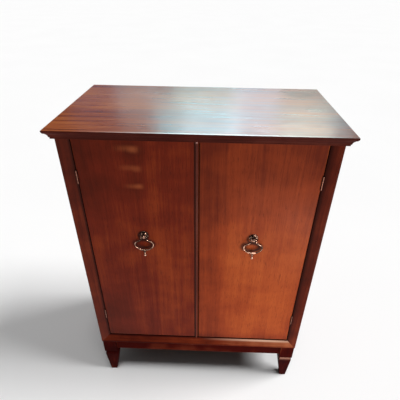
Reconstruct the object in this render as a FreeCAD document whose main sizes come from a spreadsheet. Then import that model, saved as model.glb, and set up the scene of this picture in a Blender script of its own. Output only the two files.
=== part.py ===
import FreeCAD, Part
import Sketcher
import math
import os
import types

# Storage cabinet with two doors: seen from the front, +X is right, -Y is the front, +Z is up.
# The origin is on the floor, under the middle of the top. All sizes are in millimetres.

doc = FreeCAD.newDocument("storage_cabinet")
sheet = doc.addObject("Spreadsheet::Sheet", "Sizes")

driving_sizes = {
    # Top
    "top_width": 762,
    "top_depth": 448,
    "overall_height": 1004,
    "top_thickness": 25,
    "overhang": 21,
    "back_overhang": 6,
    "edge_strip_width": 44,
    "edge_ease": 1.2,
    "nose_height": 9,
    "nose_radius": 10,
    "quirk_width": 2.6,
    "quirk_height": 1.8,
    "cove_width": 5,
    "cove_height": 9.6,
    "cove_radius": 12,
    "fillet_width": 2,
    # Case
    "base_height": 182.3,
    "frame_width": 33,
    "frame_depth": 30,
    "bevel_depth": 10,
    "bevel_flat": 4,
    "board_thickness": 18,
    "back_thickness": 5,
    "back_rebate": 8,
    "back_setback": 1,
    "rail_height": 40,
    "rail_clearance": 0.6,
    "shelf_height": 590,
    "shelf_setback": 24,
    "shelf_housing": 6,
    # Base
    "apron_height": 44.3,
    "apron_thickness": 20,
    "apron_setback": 6,
    "leg_width": 50,
    "leg_setback": 1.6,
    "leg_block_height": 61.3,
    "waist_depth": 4,
    "waist_height": 5,
    "shoulder_height": 16,
    "shoulder_inset": 1.2,
    "foot_width": 23,
    "foot_outer_inset": 8,
    "brace_height": 25,
    "brace_reach": 40,
    # Doors
    "door_thickness": 19,
    "door_setback": 0.4,
    "door_gap": 1.8,
    "door_head_gap": 2,
    "meeting_gap": 2,
    "door_ease": 0.8,
    "bead_width": 8,
    "bead_height": 5,
    "bead_offset": 1,
    "bead_quirk": 0.6,
    # Hinges
    "hinge_height": 38,
    "hinge_leaf_width": 15,
    "leaf_thickness": 1.2,
    "leaf_gap": 0.2,
    "knuckle_radius": 2.8,
    "knuckle_clearance": 0.2,
    "knuckle_end_gap": 0.1,
    "pin_radius": 1.25,
    "pin_clearance": 0.05,
    "pin_head_height": 1.2,
    "pin_ahead": 1.5,
    "hinge_offset": 110.5,
    "hinge_screw_pitch": 13,
    "hinge_screw_stagger": 2,
    # Pulls
    "pull_spread": 162,
    "pull_drop": 297,
    "pull_reach": 12,
    "rosette_radius": 13,
    "rosette_edge": 1.2,
    "rosette_rim": 2.2,
    "rosette_rim_width": 2.4,
    "rosette_valley": 1.4,
    "rosette_height": 3.2,
    "rosette_seat": 5,
    "collar_radius": 7.5,
    "collar_height": 4,
    "neck_radius": 3.4,
    "head_radius": 5.5,
    "shank_radius": 2,
    "shank_clearance": 0.1,
    "nut_width": 8,
    "nut_height": 3.2,
    "shank_tail": 1,
    "bail_rod_radius": 1.8,
    "bail_pin_gap": 1,
    "bail_arm": 8,
    "bail_elbow": 2.5,
    "bail_neck": 3.5,
    "bail_shoulder_radius": 8,
    "bail_cheek_radius": 12,
    "bail_lean": 60,
    "bail_half_width": 27.5,
    "bail_drop": 49,
    "sleeve_length": 16,
    "sleeve_radius": 3,
    "finial_drop": 18,
    "finial_ball_radius": 4.5,
    "finial_neck_radius": 2.1,
    "finial_bead_radius": 3.3,
    # Catches and screws
    "catch_place": 42,
    "catch_width": 46,
    "catch_height": 14,
    "catch_depth": 20,
    "catch_gap": 0.3,
    "catch_screw_pitch": 32,
    "strike_width": 34,
    "strike_height": 11,
    "strike_thickness": 1.2,
    "small_head_radius": 2.4,
    "small_head_height": 1.2,
    "small_shank_radius": 1.3,
    "small_screw_length": 12,
    "large_head_radius": 4,
    "large_head_height": 2.4,
    "large_shank_radius": 2.1,
    "large_screw_length": 38,
    "top_screw_bite": 16,
    "top_screw_place": 280,
    "slot_width": 0.7,
    "slot_depth": 0.5,
}

for row, (alias, number) in enumerate(driving_sizes.items(), start=1):
    sheet.set(f"A{row}", alias.replace("_", " "))
    sheet.set(f"B{row}", str(number))
    sheet.setAlias(f"B{row}", alias)
doc.recompute()


class Size:
    # A length kept twice: as the sheet expression that drives it, and as its present number

    def __init__(self, text, number):
        self.text = text
        self.number = number

    def __add__(self, other):
        return combined(self, "+", other, self.number + as_size(other).number)

    def __radd__(self, other):
        return as_size(other) + self

    def __sub__(self, other):
        return combined(self, "-", other, self.number - as_size(other).number)

    def __rsub__(self, other):
        return as_size(other) - self

    def __mul__(self, other):
        return combined(self, "*", other, self.number * as_size(other).number)

    def __rmul__(self, other):
        return as_size(other) * self

    def __truediv__(self, other):
        return combined(self, "/", other, self.number / as_size(other).number)

    def __neg__(self):
        return as_size(0) - self


def as_size(value):
    if isinstance(value, Size):
        return value
    return Size(str(value), value)


def combined(left, sign, right, number):
    return Size(f"({left.text} {sign} {as_size(right).text})", number)


def square_root(value):
    return Size(f"sqrt({value.text})", math.sqrt(value.number))


size = types.SimpleNamespace()
for alias in driving_sizes:
    setattr(size, alias, Size(f"Sizes.{alias}", float(sheet.get(alias))))


def bind(thing, name, value):
    thing.setExpression(name, as_size(value).text)


def place(thing, point, rotation=None):
    thing.Placement = FreeCAD.Placement(FreeCAD.Vector(), rotation or FreeCAD.Rotation())
    for axis, value in zip("xyz", point):
        bind(thing, f"Placement.Base.{axis}", value)


# The ways that a screw or rod can point, as a turn of +Z
turns = {
    "up": FreeCAD.Rotation(),
    "right": FreeCAD.Rotation(FreeCAD.Vector(0, 1, 0), 90),
    "left": FreeCAD.Rotation(FreeCAD.Vector(0, 1, 0), -90),
    "forward": FreeCAD.Rotation(FreeCAD.Vector(1, 0, 0), 90),
    "back": FreeCAD.Rotation(FreeCAD.Vector(1, 0, 0), -90),
}


def turned(heading, across, beside, along):
    # A step in the turned frame, as a step in X, Y and Z
    return {
        "up": (across, beside, along),
        "right": (along, beside, -across),
        "left": (-along, beside, across),
        "forward": (across, -along, beside),
        "back": (across, along, -beside),
    }[heading]


def moved(point, step):
    return tuple(as_size(p) + s for p, s in zip(point, step))


def mirrored(side, span):
    # A span of X on the right of the cabinet, or its mirror image on the left
    low, high = span
    if side == "left":
        return (-as_size(high), -as_size(low))
    return (as_size(low), as_size(high))


# Solids from plain forms

def block(name, x_span, y_span, z_span):
    box = doc.addObject("Part::Box", name)
    spans = [tuple(as_size(end) for end in span) for span in (x_span, y_span, z_span)]
    for side, (low, high) in zip(("Length", "Width", "Height"), spans):
        bind(box, side, high - low)
    place(box, [low for low, high in spans])
    return box


def rod(name, point, heading, radius, length):
    cylinder = doc.addObject("Part::Cylinder", name)
    bind(cylinder, "Radius", radius)
    bind(cylinder, "Height", length)
    place(cylinder, point, turns[heading])
    return cylinder


def cone(name, point, heading, near_radius, far_radius, length):
    taper = doc.addObject("Part::Cone", name)
    bind(taper, "Radius1", near_radius)
    bind(taper, "Radius2", far_radius)
    bind(taper, "Height", length)
    place(taper, point, turns[heading])
    return taper


def tapered_post(name, low_plan, high_plan, z_span):
    # A post whose plan changes from low_plan to high_plan, each an X span and a Y span
    wedge = doc.addObject("Part::Wedge", name)
    plans = (("", low_plan), ("2", high_plan))
    for mark, (x_span, y_span) in plans:
        bind(wedge, f"X{mark}min", x_span[0])
        bind(wedge, f"X{mark}max", x_span[1])
        bind(wedge, f"Z{mark}min", -as_size(y_span[1]))
        bind(wedge, f"Z{mark}max", -as_size(y_span[0]))
    bind(wedge, "Ymin", z_span[0])
    bind(wedge, "Ymax", z_span[1])
    wedge.Placement = FreeCAD.Placement(FreeCAD.Vector(), turns["forward"])
    return wedge


def fused(name, shapes):
    union = doc.addObject("Part::MultiFuse", name)
    union.Shapes = shapes
    return union


def cut(name, base, tools):
    result = base
    for index, tool in enumerate(tools):
        last = index == len(tools) - 1
        difference = doc.addObject("Part::Cut", name if last else f"{name}_cut_{index + 1}")
        difference.Base = result
        difference.Tool = tool
        result = difference
    return result


def group(name, shapes):
    compound = doc.addObject("Part::Compound", name)
    compound.Links = shapes
    return compound


# Solids from sketches

def sketch_in(body, name, role, offset=None):
    # XZ_Plane faces -Y, so its offset runs towards the front
    sketch = body.newObject("Sketcher::SketchObject", name)
    plane = [feature for feature in body.Origin.OriginFeatures if feature.Role == role][0]
    sketch.AttachmentSupport = [(plane, "")]
    sketch.MapMode = "FlatFace"
    if offset is not None:
        bind(sketch, "AttachmentOffset.Base.z", offset)
    return sketch


def curved_edge(start, end, radius, turn):
    # The short arc from start to end; a turn of 1 runs anticlockwise, -1 clockwise
    chord = end - start
    half = chord.Length / 2
    rise = math.sqrt(radius ** 2 - half ** 2)
    normal = FreeCAD.Vector(-chord.y, chord.x, 0).normalize()
    centre = start + chord / 2 + normal * rise * turn
    first, last = (start, end) if turn > 0 else (end, start)
    angles = [math.atan2(p.y - centre.y, p.x - centre.x) for p in (first, last)]
    if angles[1] < angles[0]:
        angles[1] += 2 * math.pi
    circle = Part.Circle(centre, FreeCAD.Vector(0, 0, 1), radius)
    return Part.ArcOfCircle(circle, angles[0], angles[1])


def outline(sketch, corners, curves=None):
    # A closed outline through corners; curves gives a radius and a turn to the edges that are arcs
    curves = curves or {}
    corners = [(as_size(x), as_size(y)) for x, y in corners]
    points = [FreeCAD.Vector(x.number, y.number, 0) for x, y in corners]
    edges = []
    for index, start in enumerate(points):
        end = points[(index + 1) % len(points)]
        if index in curves:
            radius, turn = curves[index]
            edge = sketch.addGeometry(curved_edge(start, end, as_size(radius).number, turn), False)
            ends = (1, 2) if turn > 0 else (2, 1)
        else:
            edge = sketch.addGeometry(Part.LineSegment(start, end), False)
            ends = (1, 2)
        edges.append((edge, ends))
    for index, (edge, ends) in enumerate(edges):
        following, following_ends = edges[(index + 1) % len(edges)]
        sketch.addConstraint(
            Sketcher.Constraint("Coincident", edge, ends[1], following, following_ends[0])
        )
        for kind, value in zip(("DistanceX", "DistanceY"), corners[index]):
            rule = sketch.addConstraint(
                Sketcher.Constraint(kind, -1, 1, edge, ends[0], value.number)
            )
            bind(sketch, f"Constraints[{rule}]", value)
        if index in curves:
            radius = as_size(curves[index][0])
            rule = sketch.addConstraint(Sketcher.Constraint("Radius", edge, radius.number))
            bind(sketch, f"Constraints[{rule}]", radius)


def new_body(name):
    return doc.addObject("PartDesign::Body", name)


def pad(body, sketch, length, centred=False):
    feature = body.newObject("PartDesign::Pad", f"{body.Name}_pad")
    feature.Profile = sketch
    feature.Midplane = centred
    bind(feature, "Length", length)
    return feature


def pocket(body, sketch, depth):
    before = body.Tip
    feature = body.newObject("PartDesign::Pocket", f"{sketch.Name}_pocket")
    feature.Profile = sketch
    bind(feature, "Length", depth)
    pockets.append((before, feature))
    return feature


def revolve(body, sketch):
    feature = body.newObject("PartDesign::Revolution", f"{body.Name}_turning")
    feature.Profile = sketch
    feature.ReferenceAxis = (sketch, ["V_Axis"])
    feature.Angle = 360
    return feature


pockets = []
least_pocket_volume = 1


def check_pockets():
    # Each pocket must take material away
    for before, feature in pockets:
        if feature.Shape.Volume > before.Shape.Volume - least_pocket_volume:
            raise RuntimeError(f"{feature.Name} cuts nothing")


# Planes and lines that the pieces share

top_half = size.top_width / 2
top_front = -size.top_depth / 2
top_back = size.top_depth / 2
top_underside = size.overall_height - size.top_thickness

case_half = top_half - size.overhang
case_front = top_front + size.overhang
case_back = top_back - size.back_overhang
case_inner = case_half - size.board_thickness
case_bottom = size.base_height

frame_inner = case_half - size.frame_width
frame_back = case_front + size.frame_depth
rail_top = case_bottom + size.frame_width
floor_top = case_bottom + size.board_thickness
back_outer = case_back - size.back_setback
back_inner = back_outer - size.back_thickness

door_front = case_front + size.bevel_depth + size.door_setback
door_back = door_front + size.door_thickness
door_edge = frame_inner - size.door_gap
door_meeting = size.meeting_gap / 2
door_foot = rail_top + size.door_gap
door_head = top_underside - size.door_head_gap
stop_front = door_back + size.rail_clearance

pin_x = frame_inner - size.door_gap / 2
pin_y = door_front - size.pin_ahead

# An arc across a full width stays just under a half circle
half_circle_slack = 1.001

sides = ("left", "right")
pieces = []


def finished(thing, name):
    thing.Label = name
    pieces.append((name, thing))
    return thing


# Screws: blanks fill their holes, and the screws are the blanks with slots

def screw_blank(name, point, heading, head_radius, head_height, shank_radius, length):
    # The point is as long as the shank is thick, and ends a quarter as thick
    tip = shank_radius * 2
    shank_start = moved(point, turned(heading, 0, 0, head_height))
    tip_start = moved(point, turned(heading, 0, 0, length - tip))
    return fused(name, [
        cone(f"{name}_head", point, heading, head_radius, shank_radius, head_height),
        rod(f"{name}_shank", shank_start, heading, shank_radius, length - tip - head_height),
        cone(f"{name}_tip", tip_start, heading, shank_radius, shank_radius / 4, tip),
    ])


def small_blank(name, point, heading):
    return screw_blank(
        name, point, heading, size.small_head_radius, size.small_head_height,
        size.small_shank_radius, size.small_screw_length,
    )


def large_blank(name, point, heading):
    return screw_blank(
        name, point, heading, size.large_head_radius, size.large_head_height,
        size.large_shank_radius, size.large_screw_length,
    )


def slotted(name, blanks, head_radius):
    # Each blank comes with the point and the heading of its head
    screws = []
    for index, (blank, point, heading) in enumerate(blanks, start=1):
        low = turned(heading, -head_radius, -size.slot_width / 2, as_size(0))
        high = turned(heading, head_radius, size.slot_width / 2, size.slot_depth)
        spans = []
        for start, first, second in zip(point, low, high):
            first, second = as_size(first), as_size(second)
            if first.number > second.number:
                first, second = second, first
            spans.append((start + first, start + second))
        slot = block(f"{name}_slot_{index}", *spans)
        screws.append(cut(f"{name}_{index}", blank, [slot]))
    return group(name, screws)


# Top: a board with moulded strips mitred round its front and sides

def top_profile(outer, inward):
    # The moulding's section; outer is the edge of the top, and inward is 1 or -1 towards the middle
    def across(inset):
        return outer + inset * inward

    nose_inset = size.nose_radius - square_root(
        size.nose_radius * size.nose_radius
        - (size.nose_height - size.edge_ease) * (size.nose_height - size.edge_ease)
    )
    quirk_inset = nose_inset + size.quirk_width
    cove_inset = quirk_inset + size.cove_width
    band_inset = cove_inset + size.fillet_width
    crown = size.overall_height
    nose_foot = crown - size.nose_height
    quirk_foot = nose_foot - size.quirk_height
    cove_foot = quirk_foot - size.cove_height
    corners = [
        (across(size.edge_strip_width), crown),
        (across(size.edge_ease), crown),
        (across(as_size(0)), crown - size.edge_ease),
        (across(nose_inset), nose_foot),
        (across(quirk_inset), nose_foot),
        (across(quirk_inset), quirk_foot),
        (across(cove_inset), cove_foot),
        (across(band_inset), cove_foot),
        (across(band_inset), top_underside),
        (across(size.edge_strip_width), top_underside),
    ]
    turn = 1 if inward > 0 else -1
    return corners, {2: (size.nose_radius, turn), 5: (size.cove_radius, -turn)}


def mitre(body, name, corners):
    sketch = sketch_in(body, name, "XY_Plane", size.overall_height)
    outline(sketch, corners)
    pocket(body, sketch, size.top_thickness)


def make_top_edges():
    strip_inner_x = top_half - size.edge_strip_width
    strip_inner_y = top_front + size.edge_strip_width

    front = new_body("top_edge_front")
    sketch = sketch_in(front, "front_moulding", "YZ_Plane")
    outline(sketch, *top_profile(top_front, 1))
    pad(front, sketch, size.top_width, centred=True)
    for side, turn in (("left", -1), ("right", 1)):
        mitre(front, f"front_{side}_mitre", [
            (top_half * turn, top_front),
            (top_half * turn, strip_inner_y),
            (strip_inner_x * turn, strip_inner_y),
        ])
    finished(front, "top_edge_front")

    for side, turn in (("left", -1), ("right", 1)):
        strip = new_body(f"top_edge_{side}")
        sketch = sketch_in(strip, f"{side}_moulding", "XZ_Plane", -top_back)
        outline(sketch, *top_profile(top_half * turn, -turn))
        pad(strip, sketch, size.top_depth)
        mitre(strip, f"{side}_mitre", [
            (top_half * turn, top_front),
            (strip_inner_x * turn, strip_inner_y),
            (strip_inner_x * turn, top_front),
        ])
        finished(strip, f"top_edge_{side}")


def top_screw_points():
    # Screw heads sit in pockets in the two top rails and point up into the top
    head_level = top_underside + size.top_screw_bite - size.large_screw_length
    middles = {
        "front": stop_front + size.board_thickness / 2,
        "back": back_inner - size.board_thickness / 2,
    }
    return [
        (f"{rail}_{place_name}", rail, (x, y, head_level))
        for rail, y in middles.items()
        for place_name, x in (
            ("left", -size.top_screw_place), ("middle", as_size(0)), ("right", size.top_screw_place)
        )
    ]


def make_top():
    blanks = []
    counterbores = {"front": [], "back": []}
    rail_bottom = top_underside - size.rail_height
    for label, rail, point in top_screw_points():
        blanks.append((large_blank(f"top_screw_{label}", point, "up"), point, "up"))
        start = (point[0], point[1], rail_bottom)
        counterbores[rail].append(rod(
            f"top_screw_{label}_pocket", start, "up",
            size.large_head_radius + size.slot_width, point[2] - rail_bottom,
        ))
    filling = group("top_screw_blanks", [blank for blank, point, heading in blanks])
    finished(slotted("top_fixing_screws", blanks, size.large_head_radius), "top_fixing_screws")

    board = block(
        "top_board",
        (-top_half + size.edge_strip_width, top_half - size.edge_strip_width),
        (top_front + size.edge_strip_width, top_back),
        (top_underside, size.overall_height),
    )
    finished(cut("top_panel", board, [filling]), "top_panel")
    make_top_edges()

    rail_spans = {
        "front": (stop_front, stop_front + size.board_thickness),
        "back": (back_inner - size.board_thickness, back_inner),
    }
    for rail, y_span in rail_spans.items():
        bar = block(
            f"top_rail_{rail}_bar", (-case_inner, case_inner), y_span, (rail_bottom, top_underside)
        )
        tools = [filling, group(f"top_rail_{rail}_pockets", counterbores[rail])]
        if rail == "front":
            tools.append(catch_screw_filling)
        finished(cut(f"top_rail_{rail}", bar, tools), f"top_rail_{rail}")


# Case: sides, floor, back, shelf and the bevelled frame round the doors

def frame_section(turn):
    # A stile's section: its face slopes back from a narrow flat to the door
    return [
        (case_half * turn, case_front),
        (case_half * turn, frame_back),
        (frame_inner * turn, frame_back),
        (frame_inner * turn, case_front + size.bevel_depth),
        ((case_half - size.bevel_flat) * turn, case_front),
    ]


def make_stiles():
    for side, turn in (("left", -1), ("right", 1)):
        stile = new_body(f"{side}_stile_stock")
        sketch = sketch_in(stile, f"{side}_stile_section", "XY_Plane", case_bottom)
        outline(sketch, frame_section(turn))
        pad(stile, sketch, top_underside - case_bottom)
        end = sketch_in(stile, f"{side}_stile_mitre", "XZ_Plane", -case_front)
        outline(end, [
            (case_half * turn, case_bottom),
            (frame_inner * turn, rail_top),
            (frame_inner * turn, case_bottom),
        ])
        pocket(stile, end, size.frame_depth)
        finished(cut(f"stile_{side}", stile, hinge_seats[side]["frame"]), f"stile_{side}")


def make_bottom_rail():
    rail = new_body("bottom_rail")
    sketch = sketch_in(rail, "rail_section", "YZ_Plane")
    outline(sketch, [
        (case_front, case_bottom),
        (frame_back, case_bottom),
        (frame_back, rail_top),
        (case_front + size.bevel_depth, rail_top),
        (case_front, case_bottom + size.bevel_flat),
    ])
    pad(rail, sketch, case_half * 2, centred=True)
    for side, turn in (("left", -1), ("right", 1)):
        end = sketch_in(rail, f"rail_{side}_mitre", "XZ_Plane", -case_front)
        outline(end, [
            (case_half * turn, case_bottom),
            (case_half * turn, rail_top),
            (frame_inner * turn, rail_top),
        ])
        pocket(rail, end, size.frame_depth)
    finished(rail, "bottom_rail")


def make_case_boards():
    shelf_span = (size.shelf_height, size.shelf_height + size.board_thickness)
    shelf_front = frame_back + size.shelf_setback
    housing = case_inner + size.shelf_housing
    rebate_inner = case_inner + size.back_rebate
    for side in sides:
        board = block(
            f"side_{side}_board", mirrored(side, (case_inner, case_half)),
            (frame_back, case_back), (case_bottom, top_underside),
        )
        groove = block(
            f"side_{side}_groove", mirrored(side, (case_inner, housing)),
            (shelf_front, back_inner), shelf_span,
        )
        rebate = block(
            f"side_{side}_rebate", mirrored(side, (case_inner, rebate_inner)),
            (back_inner, case_back), (case_bottom, top_underside),
        )
        finished(cut(f"side_panel_{side}", board, [groove, rebate]), f"side_panel_{side}")
    finished(block("bottom_panel", (-case_inner, case_inner), (frame_back, back_inner),
                   (case_bottom, floor_top)), "bottom_panel")
    finished(block("back_panel", (-rebate_inner, rebate_inner), (back_inner, back_outer),
                   (case_bottom, top_underside)), "back_panel")
    finished(block("shelf", (-housing, housing), (shelf_front, back_inner), shelf_span), "shelf")


# Base: four tapered legs joined by aprons, with a notched block in each corner

leg_outer = case_half - size.leg_setback
leg_inner = leg_outer - size.leg_width
leg_ends = {
    "front": (case_front + size.leg_setback, 1),
    "back": (case_back - size.leg_setback, -1),
}


def leg_plan(side, end, outer_inset, inner_inset):
    # The plan of a leg, drawn in from its outer and its inner faces
    start, turn = leg_ends[end]
    near = start + outer_inset * turn
    far = start + (size.leg_width - inner_inset) * turn
    x_span = mirrored(side, (leg_inner + inner_inset, leg_outer - outer_inset))
    return x_span, (near, far) if turn > 0 else (far, near)


def make_legs():
    block_foot = case_bottom - size.leg_block_height
    waist_foot = block_foot - size.waist_height
    shoulder_foot = waist_foot - size.shoulder_height
    whole = (as_size(0), as_size(0))
    waist = (size.waist_depth, size.waist_depth)
    shoulder = (size.shoulder_inset, size.shoulder_inset)
    foot = (size.foot_outer_inset, size.leg_width - size.foot_outer_inset - size.foot_width)
    for end in leg_ends:
        for side in sides:
            name = f"leg_{end}_{side}"
            plans = {
                label: leg_plan(side, end, *insets)
                for label, insets in
                (("whole", whole), ("waist", waist), ("shoulder", shoulder), ("foot", foot))
            }
            finished(fused(name, [
                block(f"{name}_block", *plans["whole"], (block_foot, case_bottom)),
                block(f"{name}_waist", *plans["waist"], (waist_foot, block_foot)),
                tapered_post(f"{name}_shoulder", plans["shoulder"], plans["waist"],
                             (shoulder_foot, waist_foot)),
                tapered_post(f"{name}_foot", plans["foot"], plans["shoulder"],
                             (as_size(0), shoulder_foot)),
            ]), name)


def make_aprons():
    z_span = (case_bottom - size.apron_height, case_bottom)
    front_face = case_front + size.apron_setback
    back_face = case_back - size.apron_setback
    side_face = case_half - size.apron_setback
    faces = {
        "front": (front_face, front_face + size.apron_thickness),
        "back": (back_face - size.apron_thickness, back_face),
    }
    for end, y_span in faces.items():
        name = f"apron_{end}"
        finished(block(name, (-leg_inner, leg_inner), y_span, z_span), name)
    between_legs = (leg_ends["front"][0] + size.leg_width, leg_ends["back"][0] - size.leg_width)
    for side in sides:
        name = f"apron_{side}"
        x_span = mirrored(side, (side_face - size.apron_thickness, side_face))
        finished(block(name, x_span, between_legs, z_span), name)

    for end, y_span in faces.items():
        turn = leg_ends[end][1]
        apron_inner = y_span[1] if turn > 0 else y_span[0]
        leg_face = between_legs[0] if turn > 0 else between_legs[1]
        for side in sides:
            way = 1 if side == "right" else -1
            name = f"corner_brace_{end}_{side}"
            brace = new_body(name)
            sketch = sketch_in(brace, f"{name}_plan", "XY_Plane", case_bottom - size.brace_height)
            outline(sketch, [
                ((leg_inner - size.brace_reach) * way, apron_inner),
                (leg_inner * way, apron_inner),
                (leg_inner * way, leg_face),
                ((side_face - size.apron_thickness) * way, leg_face),
                ((side_face - size.apron_thickness) * way, leg_face + size.brace_reach * turn),
            ])
            pad(brace, sketch, size.brace_height)
            finished(brace, name)


# Hinges: each has a leaf on the frame, a leaf on the door and a pin through their knuckles

knuckle_count = 5
hinge_levels = {"upper": door_head - size.hinge_offset, "lower": door_foot + size.hinge_offset}
leaf_front = pin_y + size.knuckle_radius + size.knuckle_clearance
leaf_back = leaf_front + size.hinge_leaf_width
leaf_spans = {
    "frame": (pin_x + size.leaf_gap / 2, pin_x + size.leaf_gap / 2 + size.leaf_thickness),
    "door": (pin_x - size.leaf_gap / 2 - size.leaf_thickness, pin_x - size.leaf_gap / 2),
}
hinge_seats = {side: {"frame": [], "door": []} for side in sides}
hinge_blanks = {side: {"frame": [], "door": []} for side in sides}


def mirrored_point(side, point):
    return (-point[0] if side == "left" else point[0], point[1], point[2])


def make_hinge_seats(side, level):
    # The wood is cut back for the leaves, and in front of them for the knuckles
    bottom = hinge_levels[level] - size.hinge_height / 2
    top = hinge_levels[level] + size.hinge_height / 2
    room = size.knuckle_radius + size.knuckle_clearance
    notch_end = size.pin_head_height + size.knuckle_clearance
    walls = {
        "frame": ((frame_inner, leaf_spans["frame"][1]), (frame_inner, pin_x + room)),
        "door": ((leaf_spans["door"][0], door_edge), (pin_x - room, door_edge)),
    }
    for part, (leaf_wall, knuckle_wall) in walls.items():
        name = f"{level}_{side}_{part}"
        hinge_seats[side][part] += [
            block(f"{name}_seat", mirrored(side, leaf_wall), (case_front, leaf_back),
                  (bottom, top)),
            block(f"{name}_notch", mirrored(side, knuckle_wall), (case_front, leaf_front),
                  (bottom - notch_end, top + notch_end)),
        ]


def make_leaf(side, level, part):
    name = f"{level}_{side}_hinge_{part}_leaf"
    bottom = hinge_levels[level] - size.hinge_height / 2
    pitch = size.hinge_height / knuckle_count
    x_span = mirrored(side, leaf_spans[part])
    axis = mirrored_point(side, (pin_x, pin_y, bottom))
    forms = [block(f"{name}_plate", x_span, (leaf_front, leaf_back),
                   (bottom, bottom + size.hinge_height))]
    first = 0 if part == "frame" else 1
    for index in range(first, knuckle_count, 2):
        low = bottom + pitch * index + size.knuckle_end_gap / 2
        length = pitch - size.knuckle_end_gap
        forms.append(rod(f"{name}_knuckle_{index}", (axis[0], axis[1], low), "up",
                         size.knuckle_radius, length))
        forms.append(block(f"{name}_web_{index}", x_span, (pin_y, leaf_front),
                           (low, low + length)))
    bore = rod(f"{name}_bore", axis, "up", size.pin_radius + size.pin_clearance,
               size.hinge_height)
    heading = {"frame": {"left": "left", "right": "right"},
               "door": {"left": "right", "right": "left"}}[part][side]
    face = leaf_spans[part][0] if part == "frame" else leaf_spans[part][1]
    middle = (leaf_front + leaf_back) / 2
    blanks = []
    for index in (-1, 0, 1):
        y = middle - size.hinge_screw_stagger if index == 0 else middle + size.hinge_screw_stagger
        z = hinge_levels[level] + size.hinge_screw_pitch * index
        point = mirrored_point(side, (face, y, z))
        blanks.append((small_blank(f"{name}_screw_{index + 2}", point, heading), point, heading))
    hinge_blanks[side][part] += blanks
    filling = group(f"{name}_screw_blanks", [blank for blank, point, heading in blanks])
    hinge_seats[side][part].append(filling)
    finished(cut(name, fused(f"{name}_metal", forms), [bore, filling]), name)


def make_pin(side, level):
    # A pin with a shallow domed head at each end
    name = f"{level}_{side}_hinge_pin"
    pin = new_body(name)
    sketch = sketch_in(pin, f"{name}_profile", "XZ_Plane")
    half = size.hinge_height / 2
    crown = half + size.pin_head_height
    shoulder = half + size.pin_head_height / 2
    crown_radius = size.knuckle_radius - size.pin_head_height / 2
    outline(sketch, [
        (0, -crown), (crown_radius, -crown), (size.knuckle_radius, -shoulder),
        (size.knuckle_radius, -half), (size.pin_radius, -half), (size.pin_radius, half),
        (size.knuckle_radius, half), (size.knuckle_radius, shoulder),
        (crown_radius, crown), (0, crown),
    ])
    revolve(pin, sketch)
    place(pin, mirrored_point(side, (pin_x, pin_y, hinge_levels[level])))
    finished(pin, name)


def make_hinges():
    for side in sides:
        for level in hinge_levels:
            make_hinge_seats(side, level)
            for part in ("frame", "door"):
                make_leaf(side, level, part)
            make_pin(side, level)
    case_blanks = hinge_blanks["left"]["frame"] + hinge_blanks["right"]["frame"]
    finished(slotted("hinge_screws_case", case_blanks, size.small_head_radius),
             "hinge_screws_case")
    for side in sides:
        name = f"hinge_screws_{side}_door"
        finished(slotted(name, hinge_blanks[side]["door"], size.small_head_radius), name)


# Pulls: a rosette, a turned post that clamps it with a nut, and a bail that swings in the post

def pull_point(side):
    return mirrored_point(side, (size.pull_spread, door_front, door_head - size.pull_drop))


def make_rosette(side):
    name = f"{side}_pull_rosette"
    rosette = new_body(name)
    sketch = sketch_in(rosette, f"{name}_profile", "XY_Plane")
    rim_inner = size.rosette_radius - size.rosette_rim_width
    rim_crown = size.rosette_radius - size.rosette_rim_width / 2
    outline(sketch, [
        (size.shank_radius, 0),
        (size.rosette_radius, 0),
        (size.rosette_radius, -size.rosette_edge),
        (rim_crown, -size.rosette_rim),
        (rim_inner, -size.rosette_valley),
        (size.rosette_seat, -size.rosette_height),
        (size.shank_radius, -size.rosette_height),
    ], {4: (size.rosette_radius, 1)})
    revolve(rosette, sketch)
    place(rosette, pull_point(side))
    finished(rosette, name)


def make_post(side):
    # Shank, rounded collar, neck and ball head, with a cross bore for the bail
    name = f"{side}_pull_post"
    post = new_body(f"{name}_stock")
    sketch = sketch_in(post, f"{name}_profile", "XY_Plane")
    collar_foot = -size.rosette_height
    collar_top = collar_foot - size.collar_height
    tail = size.door_thickness + size.nut_height + size.shank_tail
    neck_step = square_root(
        size.head_radius * size.head_radius - size.neck_radius * size.neck_radius
    )
    half_collar = size.collar_height / 2
    outline(sketch, [
        (0, tail),
        (0, -size.pull_reach - size.head_radius),
        (size.neck_radius, -size.pull_reach + neck_step),
        (size.neck_radius, collar_top),
        (size.collar_radius - half_collar, collar_top),
        (size.collar_radius - half_collar, collar_foot),
        (size.shank_radius, collar_foot),
        (size.shank_radius, tail),
    ], {1: (size.head_radius, 1), 4: (half_collar * half_circle_slack, 1)})
    revolve(post, sketch)
    place(post, pull_point(side))
    pivot = moved(pull_point(side), (-size.head_radius, -size.pull_reach, 0))
    bore = rod(f"{name}_bore", pivot, "right", size.bail_rod_radius + size.pin_clearance,
               size.head_radius * 2)
    finished(cut(name, post, [bore]), name)


def make_nut(side):
    # A hexagonal nut on the inner face of the door; its width is measured across the flats
    name = f"{side}_pull_nut"
    nut = new_body(f"{name}_stock")
    back = -(door_front + size.door_thickness)
    sketch = sketch_in(nut, f"{name}_plan", "XZ_Plane", back)
    half = size.nut_width / 2
    point = size.nut_width / math.sqrt(3)
    centre = pull_point(side)
    outline(sketch, [
        (centre[0] + point, centre[2]),
        (centre[0] + point / 2, centre[2] + half),
        (centre[0] - point / 2, centre[2] + half),
        (centre[0] - point, centre[2]),
        (centre[0] - point / 2, centre[2] - half),
        (centre[0] + point / 2, centre[2] - half),
    ])
    feature = pad(nut, sketch, size.nut_height)
    feature.Reversed = True
    start = moved(centre, (0, size.door_thickness, 0))
    bore = rod(f"{name}_bore", start, "back", size.shank_radius, size.nut_height)
    finished(cut(name, nut, [bore]), name)


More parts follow.
